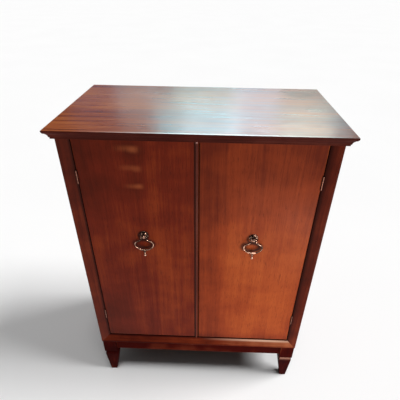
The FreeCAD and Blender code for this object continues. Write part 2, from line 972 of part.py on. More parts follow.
def bail_path():
    # Half of the bail's centre line from its pin, then the other half as its mirror image
    half_width = size.bail_half_width.number
    drop = size.bail_drop.number
    arm = size.bail_arm.number
    elbow = size.bail_elbow.number
    neck = size.bail_neck.number
    shoulder = size.bail_shoulder_radius.number
    cheek = size.bail_cheek_radius.number
    lean = math.radians(size.bail_lean.number)
    slope = half_width - arm - (shoulder + cheek) * (1 - math.cos(lean))
    run = slope / math.sin(lean)
    widest = elbow + neck + (shoulder + cheek) * math.sin(lean) + run * math.cos(lean)
    # Two arcs of 45 degrees each close the loop below its widest point
    eighth = math.pi / 4
    share = math.sin(eighth)
    rise = drop - widest
    flat = (half_width - rise * (1 - share) / share) / (share - (1 - share) ** 2 / share)
    corner = (rise - flat * (1 - share)) / share

    edges = []
    point = FreeCAD.Vector(size.bail_pin_gap.number, 0, 0)
    heading = 0.0

    def straight(length):
        nonlocal point
        end = point + FreeCAD.Vector(math.cos(heading), 0, math.sin(heading)) * length
        edges.append(Part.LineSegment(point, end).toShape())
        point = end

    def bend(radius, angle):
        # A positive angle turns anticlockwise, seen from the front
        nonlocal point, heading
        way = 1 if angle > 0 else -1
        centre = point + FreeCAD.Vector(-math.sin(heading), 0, math.cos(heading)) * radius * way

        def on_arc(share_of_turn):
            spoke = heading + angle * share_of_turn - way * math.pi / 2
            return centre + FreeCAD.Vector(math.cos(spoke), 0, math.sin(spoke)) * radius

        end = on_arc(1)
        edges.append(Part.Arc(point, on_arc(0.5), end).toShape())
        point = end
        heading += angle

    straight(arm - elbow - size.bail_pin_gap.number)
    bend(elbow, -math.pi / 2)
    straight(neck)
    bend(shoulder, lean)
    straight(run)
    bend(cheek, -lean)
    bend(corner, -eighth)
    bend(flat, -eighth)
    mirror = [edge.mirror(FreeCAD.Vector(), FreeCAD.Vector(1, 0, 0)) for edge in edges]
    return Part.Wire(Part.__sortEdges__(edges + mirror))


def bail_drop_profile():
    # The turned drop under the bail: a neck, a small bead and a ball
    ball = size.finial_ball_radius.number
    neck = size.finial_neck_radius.number
    bead = size.finial_bead_radius.number
    top = -size.bail_drop.number
    centre = top - size.finial_drop.number
    join = centre + math.sqrt(ball ** 2 - neck ** 2)
    bead_level = (top + join) / 2 - size.bail_rod_radius.number / 2
    half_bead = math.sqrt(bead ** 2 - neck ** 2)

    def at(radius, level):
        return FreeCAD.Vector(radius, 0, level)

    edges = [
        Part.LineSegment(at(0, top), at(neck, top)),
        Part.LineSegment(at(neck, top), at(neck, bead_level + half_bead)),
        Part.Arc(at(neck, bead_level + half_bead), at(bead, bead_level),
                 at(neck, bead_level - half_bead)),
        Part.LineSegment(at(neck, bead_level - half_bead), at(neck, join)),
        Part.Arc(at(neck, join), at(ball, centre), at(0, centre - ball)),
        Part.LineSegment(at(0, centre - ball), at(0, top)),
    ]
    face = Part.Face(Part.Wire([edge.toShape() for edge in edges]))
    return face.revolve(FreeCAD.Vector(), FreeCAD.Vector(0, 0, 1), 360)


def bail_sleeve():
    # The swollen grip in the middle of the bail, tapered to both ends
    half = size.sleeve_length.number / 2
    level = -size.bail_drop.number
    thin = size.bail_rod_radius.number
    thick = size.sleeve_radius.number
    crown = Part.Arc(
        FreeCAD.Vector(-half, 0, level + thin), FreeCAD.Vector(0, 0, level + thick),
        FreeCAD.Vector(half, 0, level + thin),
    )
    ends = [FreeCAD.Vector(half, 0, level), FreeCAD.Vector(-half, 0, level)]
    edges = [
        crown,
        Part.LineSegment(FreeCAD.Vector(half, 0, level + thin), ends[0]),
        Part.LineSegment(ends[0], ends[1]),
        Part.LineSegment(ends[1], FreeCAD.Vector(-half, 0, level + thin)),
    ]
    face = Part.Face(Part.Wire([edge.toShape() for edge in edges]))
    return face.revolve(FreeCAD.Vector(0, 0, level), FreeCAD.Vector(1, 0, 0), 360)


tube_tolerance = 0.01


def make_bail(side):
    name = f"{side}_pull_bail"
    path = bail_path()
    start = path.Edges[0]
    radius = size.bail_rod_radius.number
    tangent = start.tangentAt(start.FirstParameter)
    section = Part.Wire(Part.makeCircle(radius, start.valueAt(start.FirstParameter), tangent))
    rail = Part.BRepOffsetAPI.MakePipeShell(path)
    rail.add(section)
    rail.build()
    rail.makeSolid()
    tube = rail.shape()
    expected = math.pi * radius ** 2 * path.Length
    if abs(tube.Volume - expected) > expected * tube_tolerance:
        raise RuntimeError("the bail's tube lost some of its volume")
    bail = doc.addObject("Part::Feature", name)
    bail.Shape = tube.fuse([bail_drop_profile(), bail_sleeve()])
    place(bail, moved(pull_point(side), (0, -size.pull_reach, 0)))
    finished(bail, name)


# Doors: flat boards, with a bead on the left door's meeting edge

def make_door(side):
    stock = new_body(f"{side}_door_stock")
    sketch = sketch_in(stock, f"{side}_door_plan", "XZ_Plane", -door_back)
    x_span = mirrored(side, (door_meeting, door_edge))
    outline(sketch, [
        (x_span[0], door_foot), (x_span[1], door_foot),
        (x_span[1], door_head), (x_span[0], door_head),
    ])
    board = pad(stock, sketch, size.door_thickness)
    doc.recompute()
    front = min(range(len(board.Shape.Faces)),
                key=lambda index: board.Shape.Faces[index].CenterOfMass.y)
    ease = stock.newObject("PartDesign::Chamfer", f"{side}_door_ease")
    ease.Base = (board, [f"Face{front + 1}"])
    bind(ease, "Size", size.door_ease)
    hole = rod(f"{side}_door_shank_hole", pull_point(side), "back",
               size.shank_radius + size.shank_clearance, size.door_thickness)
    tools = hinge_seats[side]["door"] + [hole, strike_fillings[side]]
    finished(cut(f"door_{side}", stock, tools), f"door_{side}")


def make_bead():
    # A half-round bead with a narrow undercut at each side
    bead = new_body("meeting_bead")
    sketch = sketch_in(bead, "bead_section", "XY_Plane", door_foot)
    outer = -door_meeting - size.bead_offset
    inner = outer - size.bead_width
    crown = door_front - (size.bead_height - size.bead_width / 2)
    outline(sketch, [
        (inner + size.bead_quirk, door_front),
        (inner, crown),
        (outer, crown),
        (outer - size.bead_quirk, door_front),
    ], {1: (size.bead_width / 2 * half_circle_slack, 1)})
    pad(bead, sketch, door_head - door_foot)
    finished(bead, "meeting_bead")


# Catches: a magnet case under the front top rail and a strike plate on each door

def make_catches():
    rail_bottom = top_underside - size.rail_height
    catch_front = door_back + size.strike_thickness + size.catch_gap
    middle = catch_front + size.catch_depth / 2
    blanks = []
    for side in sides:
        x_middle = mirrored_point(side, (size.catch_place, 0, 0))[0]
        tools = []
        for index in (-1, 1):
            point = (x_middle + size.catch_screw_pitch / 2 * index, middle,
                     rail_bottom - size.catch_height / 2)
            blank = small_blank(f"{side}_catch_screw_{index + 2}", point, "up")
            access = rod(f"{side}_catch_pocket_{index + 2}",
                         (point[0], point[1], rail_bottom - size.catch_height), "up",
                         size.small_head_radius + size.slot_width / 2, size.catch_height / 2)
            blanks.append((blank, point, "up"))
            tools += [blank, access]
        half = size.catch_width / 2
        case = block(f"{side}_catch_case", (x_middle - half, x_middle + half),
                     (catch_front, catch_front + size.catch_depth),
                     (rail_bottom - size.catch_height, rail_bottom))
        finished(cut(f"{side}_catch_body", case, tools), f"{side}_catch_body")

        level = rail_bottom - size.catch_height / 2
        point = (x_middle, door_back + size.strike_thickness, level)
        strike_screw = small_blank(f"{side}_strike_blank", point, "forward")
        strike_fillings[side] = strike_screw
        half = size.strike_width / 2
        plate = block(f"{side}_strike_stock", (x_middle - half, x_middle + half),
                      (door_back, door_back + size.strike_thickness),
                      (level - size.strike_height / 2, level + size.strike_height / 2))
        finished(cut(f"{side}_strike_plate", plate, [strike_screw]), f"{side}_strike_plate")
        name = f"{side}_strike_screw"
        finished(slotted(name, [(strike_screw, point, "forward")], size.small_head_radius), name)
    finished(slotted("catch_screws", blanks, size.small_head_radius), "catch_screws")
    return group("catch_screw_blanks", [blank for blank, point, heading in blanks])


strike_fillings = {}
catch_screw_filling = make_catches()
make_top()
make_hinges()
make_stiles()
make_bottom_rail()
make_case_boards()
make_legs()
make_aprons()
for side in sides:
    make_door(side)
    make_rosette(side)
    make_post(side)
    make_nut(side)
    make_bail(side)
make_bead()

doc.recompute()
check_pockets()
for thing in doc.Objects:
    if "Invalid" in thing.State or "Error" in thing.State:
        raise RuntimeError(f"{thing.Name} could not be computed: {thing.State}")
for name, thing in pieces:
    if thing.Shape.isNull() or not thing.Shape.isValid() or not thing.Shape.Solids:
        raise RuntimeError(f"{name} has no sound shape")

os.makedirs("parts", exist_ok=True)
for name, thing in pieces:
    thing.Shape.exportStep(f"parts/{name}.step")
print(len(pieces), "pieces written")
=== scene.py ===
import math

import bmesh
import bpy
import numpy as np
from mathutils import Matrix, Vector


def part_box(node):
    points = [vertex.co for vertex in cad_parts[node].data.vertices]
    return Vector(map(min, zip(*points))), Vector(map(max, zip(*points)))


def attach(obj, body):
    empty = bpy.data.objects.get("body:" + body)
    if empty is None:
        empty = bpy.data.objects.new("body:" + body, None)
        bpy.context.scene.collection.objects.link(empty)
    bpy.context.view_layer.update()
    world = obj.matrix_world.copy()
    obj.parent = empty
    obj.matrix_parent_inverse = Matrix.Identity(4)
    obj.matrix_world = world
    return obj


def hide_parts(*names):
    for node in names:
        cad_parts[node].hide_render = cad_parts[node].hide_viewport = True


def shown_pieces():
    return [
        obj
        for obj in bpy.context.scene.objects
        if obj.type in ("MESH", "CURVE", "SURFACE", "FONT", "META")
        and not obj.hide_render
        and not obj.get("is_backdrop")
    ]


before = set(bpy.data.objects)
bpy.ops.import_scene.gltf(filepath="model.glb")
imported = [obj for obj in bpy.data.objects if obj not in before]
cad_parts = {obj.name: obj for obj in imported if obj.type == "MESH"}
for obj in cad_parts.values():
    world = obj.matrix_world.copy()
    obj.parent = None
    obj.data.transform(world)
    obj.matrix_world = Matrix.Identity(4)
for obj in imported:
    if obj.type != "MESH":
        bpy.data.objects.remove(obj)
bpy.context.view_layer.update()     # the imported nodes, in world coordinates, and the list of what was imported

# Mahogany storage cabinet with two doors. Metres; the doors face -Y, and X runs to the right.

mm = 0.001
sides = {"left": -1, "right": 1}


def addObject(name, data):
    made = bpy.data.objects.new(name, data)
    bpy.context.scene.collection.objects.link(made)
    return made


# Camera

cameraFit = {
    "place": (0.0355, -1.0313, 1.3089),  # metres
    "pitch": 0.6012,                     # radians below the horizon
    "turn": -0.0255,
    "roll": 0.015,
    "focalPixels": 353.98,
    "centrePixel": (203.62, 221.47),     # where the lens axis meets the picture
    "picturePixels": 400,
    "sensor": 36.0,
}


def makeCamera():
    # Turned about the vertical, then pitched about the level, then rolled about the view
    fit = cameraFit
    pixels = fit["picturePixels"]
    lens = bpy.data.cameras.new("camera")
    lens.sensor_width = fit["sensor"]
    lens.lens = fit["focalPixels"] / pixels * fit["sensor"]
    lens.shift_x = (pixels / 2 - fit["centrePixel"][0]) / pixels
    lens.shift_y = (fit["centrePixel"][1] - pixels / 2) / pixels
    lens.clip_start = 0.01
    camera = addObject("camera", lens)
    camera.matrix_world = (Matrix.Translation(fit["place"]) @ Matrix.Rotation(-fit["turn"], 4, "Z")
                           @ Matrix.Rotation(math.pi / 2 - fit["pitch"], 4, "X")
                           @ Matrix.Rotation(fit["roll"], 4, "Z"))
    bpy.context.scene.camera = camera


makeCamera()
print("camera placed")


# Node helpers: an input takes a plain value or another node's output

def setInputs(tree, node, values):
    for key, value in values.items():
        if isinstance(value, bpy.types.NodeSocket):
            tree.links.new(value, node.inputs[key])
        else:
            node.inputs[key].default_value = value


def addNode(tree, kind, inputs=None, **settings):
    made = tree.nodes.new(kind)
    for key, value in settings.items():
        setattr(made, key, value)
    setInputs(tree, made, inputs or {})
    return made


def maths(tree, operation, first, second=0.0, third=0.0, clamp=False):
    inputs = {0: first, 1: second, 2: third}
    return addNode(tree, "ShaderNodeMath", inputs, operation=operation, use_clamp=clamp).outputs[0]


def product(tree, first, *others):
    for other in others:
        first = maths(tree, "MULTIPLY", first, other)
    return first


def weighed(tree, *pairs):
    # The sum of some values, each times its weight
    total = 0.0
    for value, weight in pairs:
        total = maths(tree, "MULTIPLY_ADD", value, weight, total)
    return total


def awayFrom(tree, value, place):
    return maths(tree, "ABSOLUTE", maths(tree, "SUBTRACT", value, place))


def vectorMaths(tree, operation, *vectors, output="Vector"):
    made = addNode(tree, "ShaderNodeVectorMath", dict(enumerate(vectors)), operation=operation)
    return made.outputs[output]


def scaled(tree, vector, scale):
    # scale is one number, or one for each axis
    triple = (scale,) * 3 if isinstance(scale, (int, float)) else tuple(scale)
    return vectorMaths(tree, "MULTIPLY", vector, triple)


def coordinates(tree, kind="Object"):
    return addNode(tree, "ShaderNodeTexCoord").outputs[kind]


def apart(tree, vector):
    return addNode(tree, "ShaderNodeSeparateXYZ", {0: vector}).outputs


def wearAndPaintedLightOn(tree):
    # The pieces' own attribute: 1 where rubbed, up to 2 where a highlight is painted, below 0 where shade is
    # painted on wood and where brass is dull
    return addNode(tree, "ShaderNodeAttribute", attribute_name="wearAndPaintedLight").outputs["Fac"]


def noise(tree, vector, detail=3.0, roughness=0.5, output="Fac"):
    inputs = {"Vector": vector, "Scale": 1.0, "Detail": detail, "Roughness": roughness}
    return addNode(tree, "ShaderNodeTexNoise", inputs).outputs[output]


def ranged(tree, value, low, high, newLow=0.0, newHigh=1.0):
    inputs = {"Value": value, "From Min": low, "From Max": high, "To Min": newLow, "To Max": newHigh}
    return addNode(tree, "ShaderNodeMapRange", inputs, interpolation_type="SMOOTHSTEP").outputs[0]


def ramp(tree, value, stops):
    made = addNode(tree, "ShaderNodeValToRGB", {0: value})
    elements = made.color_ramp.elements
    while len(elements) < len(stops):
        elements.new(0.5)
    for element, (place, colour) in zip(elements, stops):
        element.position = place
        element.color = (*colour, 1.0)
    return made.outputs["Color"]


def mixed(tree, amount, first, second):
    first, second = ((*colour, 1.0) if isinstance(colour, tuple) else colour for colour in (first, second))
    return addNode(tree, "ShaderNodeMix", {0: amount, 6: first, 7: second}, data_type="RGBA").outputs[2]


def bumped(tree, strength, depth, height, under=None):
    made = addNode(tree, "ShaderNodeBump", {"Strength": strength, "Distance": depth, "Height": height})
    if under is not None:
        tree.links.new(under, made.inputs["Normal"])
    return made.outputs[0]


def newMaterial(name):
    material = bpy.data.materials.new(name)
    material.use_nodes = True
    tree = material.node_tree
    tree.nodes.clear()
    shader = addNode(tree, "ShaderNodeBsdfPrincipled")
    addNode(tree, "ShaderNodeOutputMaterial", {"Surface": shader.outputs[0]})
    return material, tree, shader


# Wood finishes: ribbon figure, fine streaks and short pores along the grain, under lacquer

axes = {"x": 0, "y": 1, "z": 2}

# Repeats per metre along the grain and across it, noise detail and roughness
woodLayers = {
    "drift": (1.3, 5.0, 2.0, 0.5),
    "ribbon": (0.8, 13.0, 2.0, 0.45),
    "streak": (2.6, 95.0, 4.0, 0.6),
    "thread": (5.0, 330.0, 2.0, 0.5),
    "fibre": (14.0, 900.0, 1.0, 0.5),
    "pore": (42.0, 900.0, 1.0, 0.5),
    "mottle": (18.0, 11.0, 2.0, 0.5),
    "cloud": (3.0, 3.6, 3.0, 0.55),
    "smear": (5.0, 5.5, 4.0, 0.6),
}
steadyLayers = ("mottle", "cloud", "smear")  # the others wander with the drift

woodFinish = {
    "wander": 0.045,              # how far the drift moves the grain lines
    "tones": (0.42, 0.60, 0.84),  # where the dark, middle and light colours lie
    "pores": (0.60, 0.70),        # noise levels where a pore starts and is full
    "poreDepth": 0.5,
    "brokenEdge": (0.36, 0.62, 0.25, 1.0),
    "paintedShadeDepth": 0.85,
    "shadeStripDepth": 0.92,
    "unevenHalo": (0.35, 0.65, 0.75, 1.0),
    "gloss": (0.3, 0.7, 0.07),    # noise levels, and the change of roughness between them
    "glossLines": (0.35, 0.65),
    "coatSmoother": 0.12,         # how much less rough the lacquer is than the wood under it
    "relief": {"streak": 0.5, "pore": -0.35, "thread": 0.25},
    "dentDepth": 0.4 * mm,
    "swell": (0.2, 1 * mm),       # strength and depth
}

woodLook = {               # a wood has these unless its own line says otherwise
    "lacquer": 0.03,
    "roughness": 0.40,
    "specular": 0.10,
    "tint": (1.0, 0.50, 0.36, 1.0),
    "bump": 0.35,
    "weights": {"ribbon": 0.20, "streak": 0.19, "thread": 0.10, "fibre": 0.06, "mottle": 0.19, "cloud": 0.46},
    "spread": (1.0, 0.0),  # contrast of the tone, and a shift to lighter or darker
    "bands": (),           # broad soft bands, lighter or darker: axis, centre, reach and strength; some are painted light and shade
    "marks": (),           # small pale scuffs: place in X and Z, reach in X and Z, and strength
    "seams": (),           # painted shade along a gap or on an underside: axis, centre and reach
    "halos": (),           # a dark ring, on the doors a painted shadow of a pull: place across and along, half sizes, thickness, strength
    "haloAxis": "z",       # the axis that a ring's second place is on
    "front": 10.0,         # marks, shade strips and rings stop at this level in Y
    "rub": 0.6,
    "edgeShine": None,     # a painted highlight where the attribute is above 1: axis, centre, reach and colour
    "glossLines": 0.0,
}

stains = {  # dark, middle, light and pore colours; the pore colour is also painted as shade
    "top": ((0.150, 0.024, 0.006), (0.290, 0.062, 0.012), (0.420, 0.125, 0.024), (0.050, 0.010, 0.003)),
    "doorLeft": ((0.042, 0.004, 0.001), (0.105, 0.010, 0.003), (0.260, 0.044, 0.008), (0.025, 0.003, 0.001)),
    "doorRight": ((0.090, 0.010, 0.003), (0.215, 0.032, 0.007), (0.360, 0.075, 0.015), (0.050, 0.006, 0.002)),
    "frame": ((0.034, 0.004, 0.002), (0.072, 0.009, 0.004), (0.150, 0.026, 0.009), (0.012, 0.002, 0.001)),
    "rail": ((0.030, 0.002, 0.001), (0.105, 0.014, 0.004), (0.320, 0.105, 0.045), (0.012, 0.002, 0.001)),
    "moulding": ((0.020, 0.003, 0.002), (0.042, 0.007, 0.005), (0.130, 0.026, 0.015), (0.008, 0.001, 0.001)),
    "base": ((0.018, 0.001, 0.001), (0.038, 0.002, 0.001), (0.165, 0.032, 0.013), (0.008, 0.001, 0.001)),
    "inner": ((0.170, 0.070, 0.028), (0.280, 0.130, 0.056), (0.380, 0.200, 0.095), (0.110, 0.045, 0.020)),
}
# Near black: painted shade along gaps and under the bottom board, painted shadows round the pulls, the top's
# faint dark ring and the knuckles' darkened flanks
darkPolishAndShade = (0.010, 0.0007, 0.0005)
paleScuff = (0.310, 0.078, 0.026)


def near(tree, parts, axis, centre, reach, strength=1.0):
    # The strength at a place on an axis, falling smoothly to 0 at the reach
    return ranged(tree, awayFrom(tree, parts[axes[axis]], centre), reach, 0.0, 0.0, strength)


def ring(tree, place, axis, across, along, halfAcross, halfAlong, thickness, strength):
    # The strength on an ellipse, falling smoothly to 0 beside it, from | |(across / a, along / b)| - 1 |
    centre, shares = [across, 0.0, 0.0], [1 / halfAcross, 0.0, 0.0]
    centre[axes[axis]], shares[axes[axis]] = along, 1 / halfAlong
    moved = scaled(tree, vectorMaths(tree, "SUBTRACT", place, tuple(centre)), shares)
    away = awayFrom(tree, vectorMaths(tree, "LENGTH", moved, output="Value"), 1.0)
    return ranged(tree, away, thickness / halfAlong, 0.0, 0.0, strength)


def grainLayers(tree, grain, shifted):
    # Each layer is noise stretched along the grain. A slow drift moves most of them sideways by a few
    # millimetres, as place + drift * wander.
    def layer(name, vector, output="Fac"):
        along, across, detail, roughness = woodLayers[name]
        scale = [across] * 3
        scale[axes[grain]] = along
        return noise(tree, scaled(tree, vector, scale), detail, roughness, output)

    drift = layer("drift", shifted, "Color")
    moved = vectorMaths(tree, "MULTIPLY_ADD", drift, (woodFinish["wander"],) * 3, shifted)
    layers = {name: layer(name, shifted if name in steadyLayers else moved)
              for name in woodLayers if name != "drift"}
    layers["pore"] = ranged(tree, layers["pore"], *woodFinish["pores"])
    return layers


def woodColour(tree, stain, look, place, layers):
    finish = woodFinish
    dark, middle, light, poreAndShadeColour = stains[stain]
    parts = apart(tree, place)
    tone = weighed(tree, *((layers[name], weight) for name, weight in look["weights"].items()))
    tone = maths(tree, "MULTIPLY_ADD", tone, *look["spread"])
    for band in look["bands"]:
        tone = maths(tree, "ADD", tone, near(tree, parts, *band))
    colour = ramp(tree, tone, tuple(zip(finish["tones"], (dark, middle, light))))
    onFront = maths(tree, "LESS_THAN", parts[1], look["front"])
    for across, level, width, height, strength in look["marks"]:
        spot = product(tree, near(tree, parts, "x", across, width, strength),
                       near(tree, parts, "z", level, height), onFront)
        colour = mixed(tree, spot, colour, paleScuff)
    colour = mixed(tree, product(tree, layers["pore"], finish["poreDepth"]), colour, poreAndShadeColour)

    # Rubbed edges are lighter and broken up by noise, and shade is painted in the pore colour where the
    # attribute is below 0
    wearAndPaintedLight = wearAndPaintedLightOn(tree)
    rubbed = maths(tree, "SUBTRACT", 1.0, awayFrom(tree, wearAndPaintedLight, 1.0), clamp=True)
    broken = ranged(tree, layers["streak"], *finish["brokenEdge"])
    colour = mixed(tree, product(tree, rubbed, broken, look["rub"]), colour, light)
    paintedShade = maths(tree, "MULTIPLY", wearAndPaintedLight, -1.0, clamp=True)
    colour = mixed(tree, product(tree, paintedShade, finish["paintedShadeDepth"]), colour, poreAndShadeColour)
    # A pale painted highlight where the attribute is above 1
    if look["edgeShine"]:
        *where, pale = look["edgeShine"]
        highlighted = maths(tree, "SUBTRACT", wearAndPaintedLight, 1.0, clamp=True)
        colour = mixed(tree, product(tree, highlighted, near(tree, parts, *where)), colour, pale)

    # Painted shade along the gaps and under the bottom board, painted shadows round the pulls' fittings, and
    # the top's faint dark ring
    for seam in look["seams"]:
        amount = product(tree, near(tree, parts, *seam, finish["shadeStripDepth"]), onFront)
        colour = mixed(tree, amount, colour, darkPolishAndShade)
    uneven = product(tree, ranged(tree, layers["mottle"], *finish["unevenHalo"]), onFront)
    for halo in look["halos"]:
        amount = product(tree, ring(tree, place, look["haloAxis"], *halo), uneven)
        colour = mixed(tree, amount, colour, darkPolishAndShade)
    return colour


def wood(name, stain, grain, shift, **own):
    look = {**woodLook, **own}
    finish = woodFinish
    material, tree, shader = newMaterial(name)
    place = coordinates(tree)
    shifted = addNode(tree, "ShaderNodeMapping", {"Vector": place, "Location": shift}).outputs[0]
    layers = grainLayers(tree, grain, shifted)
    colour = woodColour(tree, stain, look, place, layers)

    # Lacquer: slightly uneven gloss, with the pores showing through as fine dents
    low, high, change = finish["gloss"]
    gloss = ranged(tree, layers["smear"], low, high, look["roughness"] - change, look["roughness"] + change)
    if look["glossLines"]:
        lines = ranged(tree, layers["streak"], *finish["glossLines"], -look["glossLines"], look["glossLines"])
        gloss = maths(tree, "ADD", gloss, lines)
    relief = weighed(tree, *((layers[name], weight) for name, weight in finish["relief"].items()))
    dents = bumped(tree, look["bump"], finish["dentDepth"], relief)
    swell = bumped(tree, *finish["swell"], layers["smear"], dents)
    setInputs(tree, shader, {
        "Base Color": colour, "Roughness": gloss, "Normal": swell,
        "Specular IOR Level": look["specular"], "Specular Tint": look["tint"],
        "Coat Weight": look["lacquer"], "Coat Roughness": look["roughness"] - finish["coatSmoother"],
        "Coat Normal": swell,
    })
    return material


# Metal and plastic finishes

metals = {  # dull colour, rubbed colour, roughness of each, patches per metre
    "antiqueBrass": ((0.009, 0.005, 0.004), (0.62, 0.36, 0.26), 0.42, 0.20, 130.0),
    "hingeBrass": ((0.18, 0.08, 0.055), (0.48, 0.20, 0.15), 0.45, 0.32, 320.0),
    "screwSteel": ((0.30, 0.24, 0.16), (0.62, 0.52, 0.36), 0.45, 0.30, 500.0),
    "strikeSteel": ((0.42, 0.42, 0.43), (0.68, 0.68, 0.70), 0.45, 0.28, 180.0),
}

metalFinish = {
    "patches": (0.40, 0.62, -0.35, 0.55),  # noise levels, and the shine that they add
    "wearShine": 0.55,
    "scratches": (3200.0, 3200.0, 700.0),  # per metre
    "flank": (0.25, 0.62),                 # how far a face turns sideways, from clean to dark
    "relief": (0.7, 0.3),                  # shares of patches and scratches
    "bump": (0.35, 0.12 * mm),
}


def metal(name, knuckleFront=None):
    # knuckleFront: a level in Y in front of which the flanks of a hinge's knuckles are darkened
    finish = metalFinish
    material, tree, shader = newMaterial(name)
    dull, bright, dullRough, brightRough, repeats = metals[name]
    place = coordinates(tree)
    patchy = noise(tree, scaled(tree, place, repeats), detail=5.0, roughness=0.6)
    scratch = noise(tree, scaled(tree, place, finish["scratches"]), detail=2.0)
    patches = ranged(tree, patchy, *finish["patches"])
    shine = maths(tree, "MULTIPLY_ADD", wearAndPaintedLightOn(tree), finish["wearShine"], patches, clamp=True)
    colour = mixed(tree, shine, dull, bright)
    if knuckleFront:
        facing = apart(tree, coordinates(tree, "Normal"))[0]
        flank = ranged(tree, maths(tree, "ABSOLUTE", facing), *finish["flank"])
        flank = product(tree, flank, maths(tree, "LESS_THAN", apart(tree, place)[1], knuckleFront))
        colour = mixed(tree, flank, colour, darkPolishAndShade)
    gloss = ranged(tree, shine, 0.0, 1.0, dullRough, brightRough)
    dents = bumped(tree, *finish["bump"], weighed(tree, *zip((patchy, scratch), finish["relief"])))
    setInputs(tree, shader, {"Base Color": colour, "Roughness": gloss, "Normal": dents, "Metallic": 1.0})
    return material


plasticFinish = {
    "pebbles": 1500.0,                # per metre
    "haze": 90.0,
    "colours": ((0.35, (0.028, 0.016, 0.011)), (0.65, (0.048, 0.028, 0.019))),
    "gloss": (0.3, 0.7, 0.42, 0.58),  # haze levels, and the roughness at each
    "bump": (0.4, 0.08 * mm),
}


def mouldedPlastic(name):
    finish = plasticFinish
    material, tree, shader = newMaterial(name)
    place = coordinates(tree)
    pebbles = noise(tree, scaled(tree, place, finish["pebbles"]), detail=2.0)
    haze = noise(tree, scaled(tree, place, finish["haze"]))
    setInputs(tree, shader, {
        "Base Color": ramp(tree, haze, finish["colours"]), "Roughness": ranged(tree, haze, *finish["gloss"]),
        "Normal": bumped(tree, *finish["bump"], pebbles), "Specular IOR Level": 0.3,
    })
    return material


# Shapes: every new surface is a set of rings, worked out as whole arrays

edgeGuard = 1.5 * mm  # a flat face starts this far beside a rounding
arcSteps = 4          # on each rounding


def circle(angle):
    return np.stack((np.cos(angle), np.sin(angle)), -1)


def unit(vectors):
    return vectors / np.linalg.norm(vectors, axis=-1, keepdims=True)


def cross(first, second):
    return first[..., 0] * second[..., 1] - first[..., 1] * second[..., 0]


def filleted(corners, radii, insets, guard=edgeGuard):
    # Each corner of a closed outline becomes an arc: its centre lies on the corner's bisector, and its
    # points are centre + radius (cos a, sin a) while a turns from one edge's normal to the next one's. An
    # inset moves all edges inwards first. A point on each edge beside the arc keeps the flat faces flat.
    # A corner with radius 0 stays one point.
    corners, radii = np.asarray(corners, float), np.asarray(radii, float)
    insets = np.asarray(insets, float)[..., None]
    before = unit(corners - np.roll(corners, 1, axis=-2))
    after = np.roll(before, -1, axis=-2)
    turning = np.arctan2(cross(before, after), (before * after).sum(-1))
    bulge = np.where(turning >= 0, 1.0, -1.0)
    normalBefore, normalAfter = before[..., ::-1] * (1, -1), after[..., ::-1] * (1, -1)
    bisector = (normalBefore + normalAfter) / (1 + (normalBefore * normalAfter).sum(-1))[..., None]
    corners = corners - bisector * insets[..., None]
    radius = np.where(radii > 0, np.maximum(radii - insets * bulge, 0), 0) + 0 * turning
    centre = corners - bisector * (radius * bulge)[..., None]
    angle = np.arctan2(normalBefore[..., 1], normalBefore[..., 0])[..., None]
    angle = angle + turning[..., None] * np.linspace(0, 1, arcSteps + 1)
    arc = centre[..., None, :] + (radius * bulge)[..., None, None] * circle(angle)
    reach = (radius * np.tan(np.abs(turning) / 2))[..., None] + guard
    first = (corners - before * reach)[..., None, :]
    last = (corners + after * reach)[..., None, :]
    points = np.concatenate((first, arc, last), axis=-2)
    rubbed = np.zeros(points.shape[:-1])
    rubbed[..., 1:-1] = bulge[..., None]
    keep = np.ones((len(radii), arcSteps + 3), bool)
    keep[radii == 0] = False
    keep[radii == 0, 1] = True
    rubbed[..., radii == 0, :] = 0
    return points[..., keep, :], rubbed[..., keep]


def inOrder(corners, radii):
    # Turns an outline anticlockwise if its signed area is negative
    corners, radii = np.asarray(corners, float), np.asarray(radii, float)
    if cross(corners, np.roll(corners, -1, axis=0)).sum() < 0:
        return corners[::-1], radii[::-1]
    return corners, radii


def standing(along, across, beside, length):
    # Section coordinates and a length become X, Y and Z
    order = {"x": (length, across, beside), "y": (beside, length, across), "z": (across, beside, length)}
    return np.stack(np.broadcast_arrays(*order[along]), -1)


def bar(corners, radii, along, start, end, ease=(0.0, 0.0), guard=edgeGuard):
    # A section carried straight along an axis between two planes; each plane is (level, slope across,
    # slope beside). An eased end draws the section in by e (1 - sin t) over a length e (1 - cos t).
    corners, radii = inOrder(corners, radii)
    turn = np.linspace(0, math.pi / 2, arcSteps + 1)
    ends = []
    for index, amount in enumerate(ease):
        inset, offset, rounded = np.zeros((3, 1))
        if amount > 0:
            inset = np.append(amount * (1 - np.sin(turn)), 0)
            offset = np.append(amount * (1 - np.cos(turn)), amount + guard)
            rounded = np.append(np.ones(arcSteps + 1), 0)
        way = 1 - 2 * index
        ends.append(np.stack((inset, offset * way, rounded, np.full(len(inset), index)))[:, ::way])
    insets, offsets, rounded, atEnd = np.concatenate(ends, axis=1)
    section = np.broadcast_to(corners, (len(insets), *corners.shape))
    section, rubbed = filleted(section, radii, insets, guard)
    planes = np.array([start, end], float)[atEnd.astype(int)]
    length = (planes[:, :1] + planes[:, 1:2] * section[..., 0] + planes[:, 2:] * section[..., 1]
              + offsets[:, None])
    rings = standing(along, section[..., 0], section[..., 1], length)
    return rings, np.maximum(rubbed, rounded[:, None])


def board(box, ease, along="z"):
    # A rectangular board with all its edges rounded by the same radius
    low, high = np.array(box)
    first, second, third = {"x": (1, 2, 0), "y": (2, 0, 1), "z": (0, 1, 2)}[along]
    corners = [(low[first], low[second]), (high[first], low[second]),
               (high[first], high[second]), (low[first], high[second])]
    return bar(corners, [ease] * 4, along, (low[third], 0, 0), (high[third], 0, 0), (ease, ease))


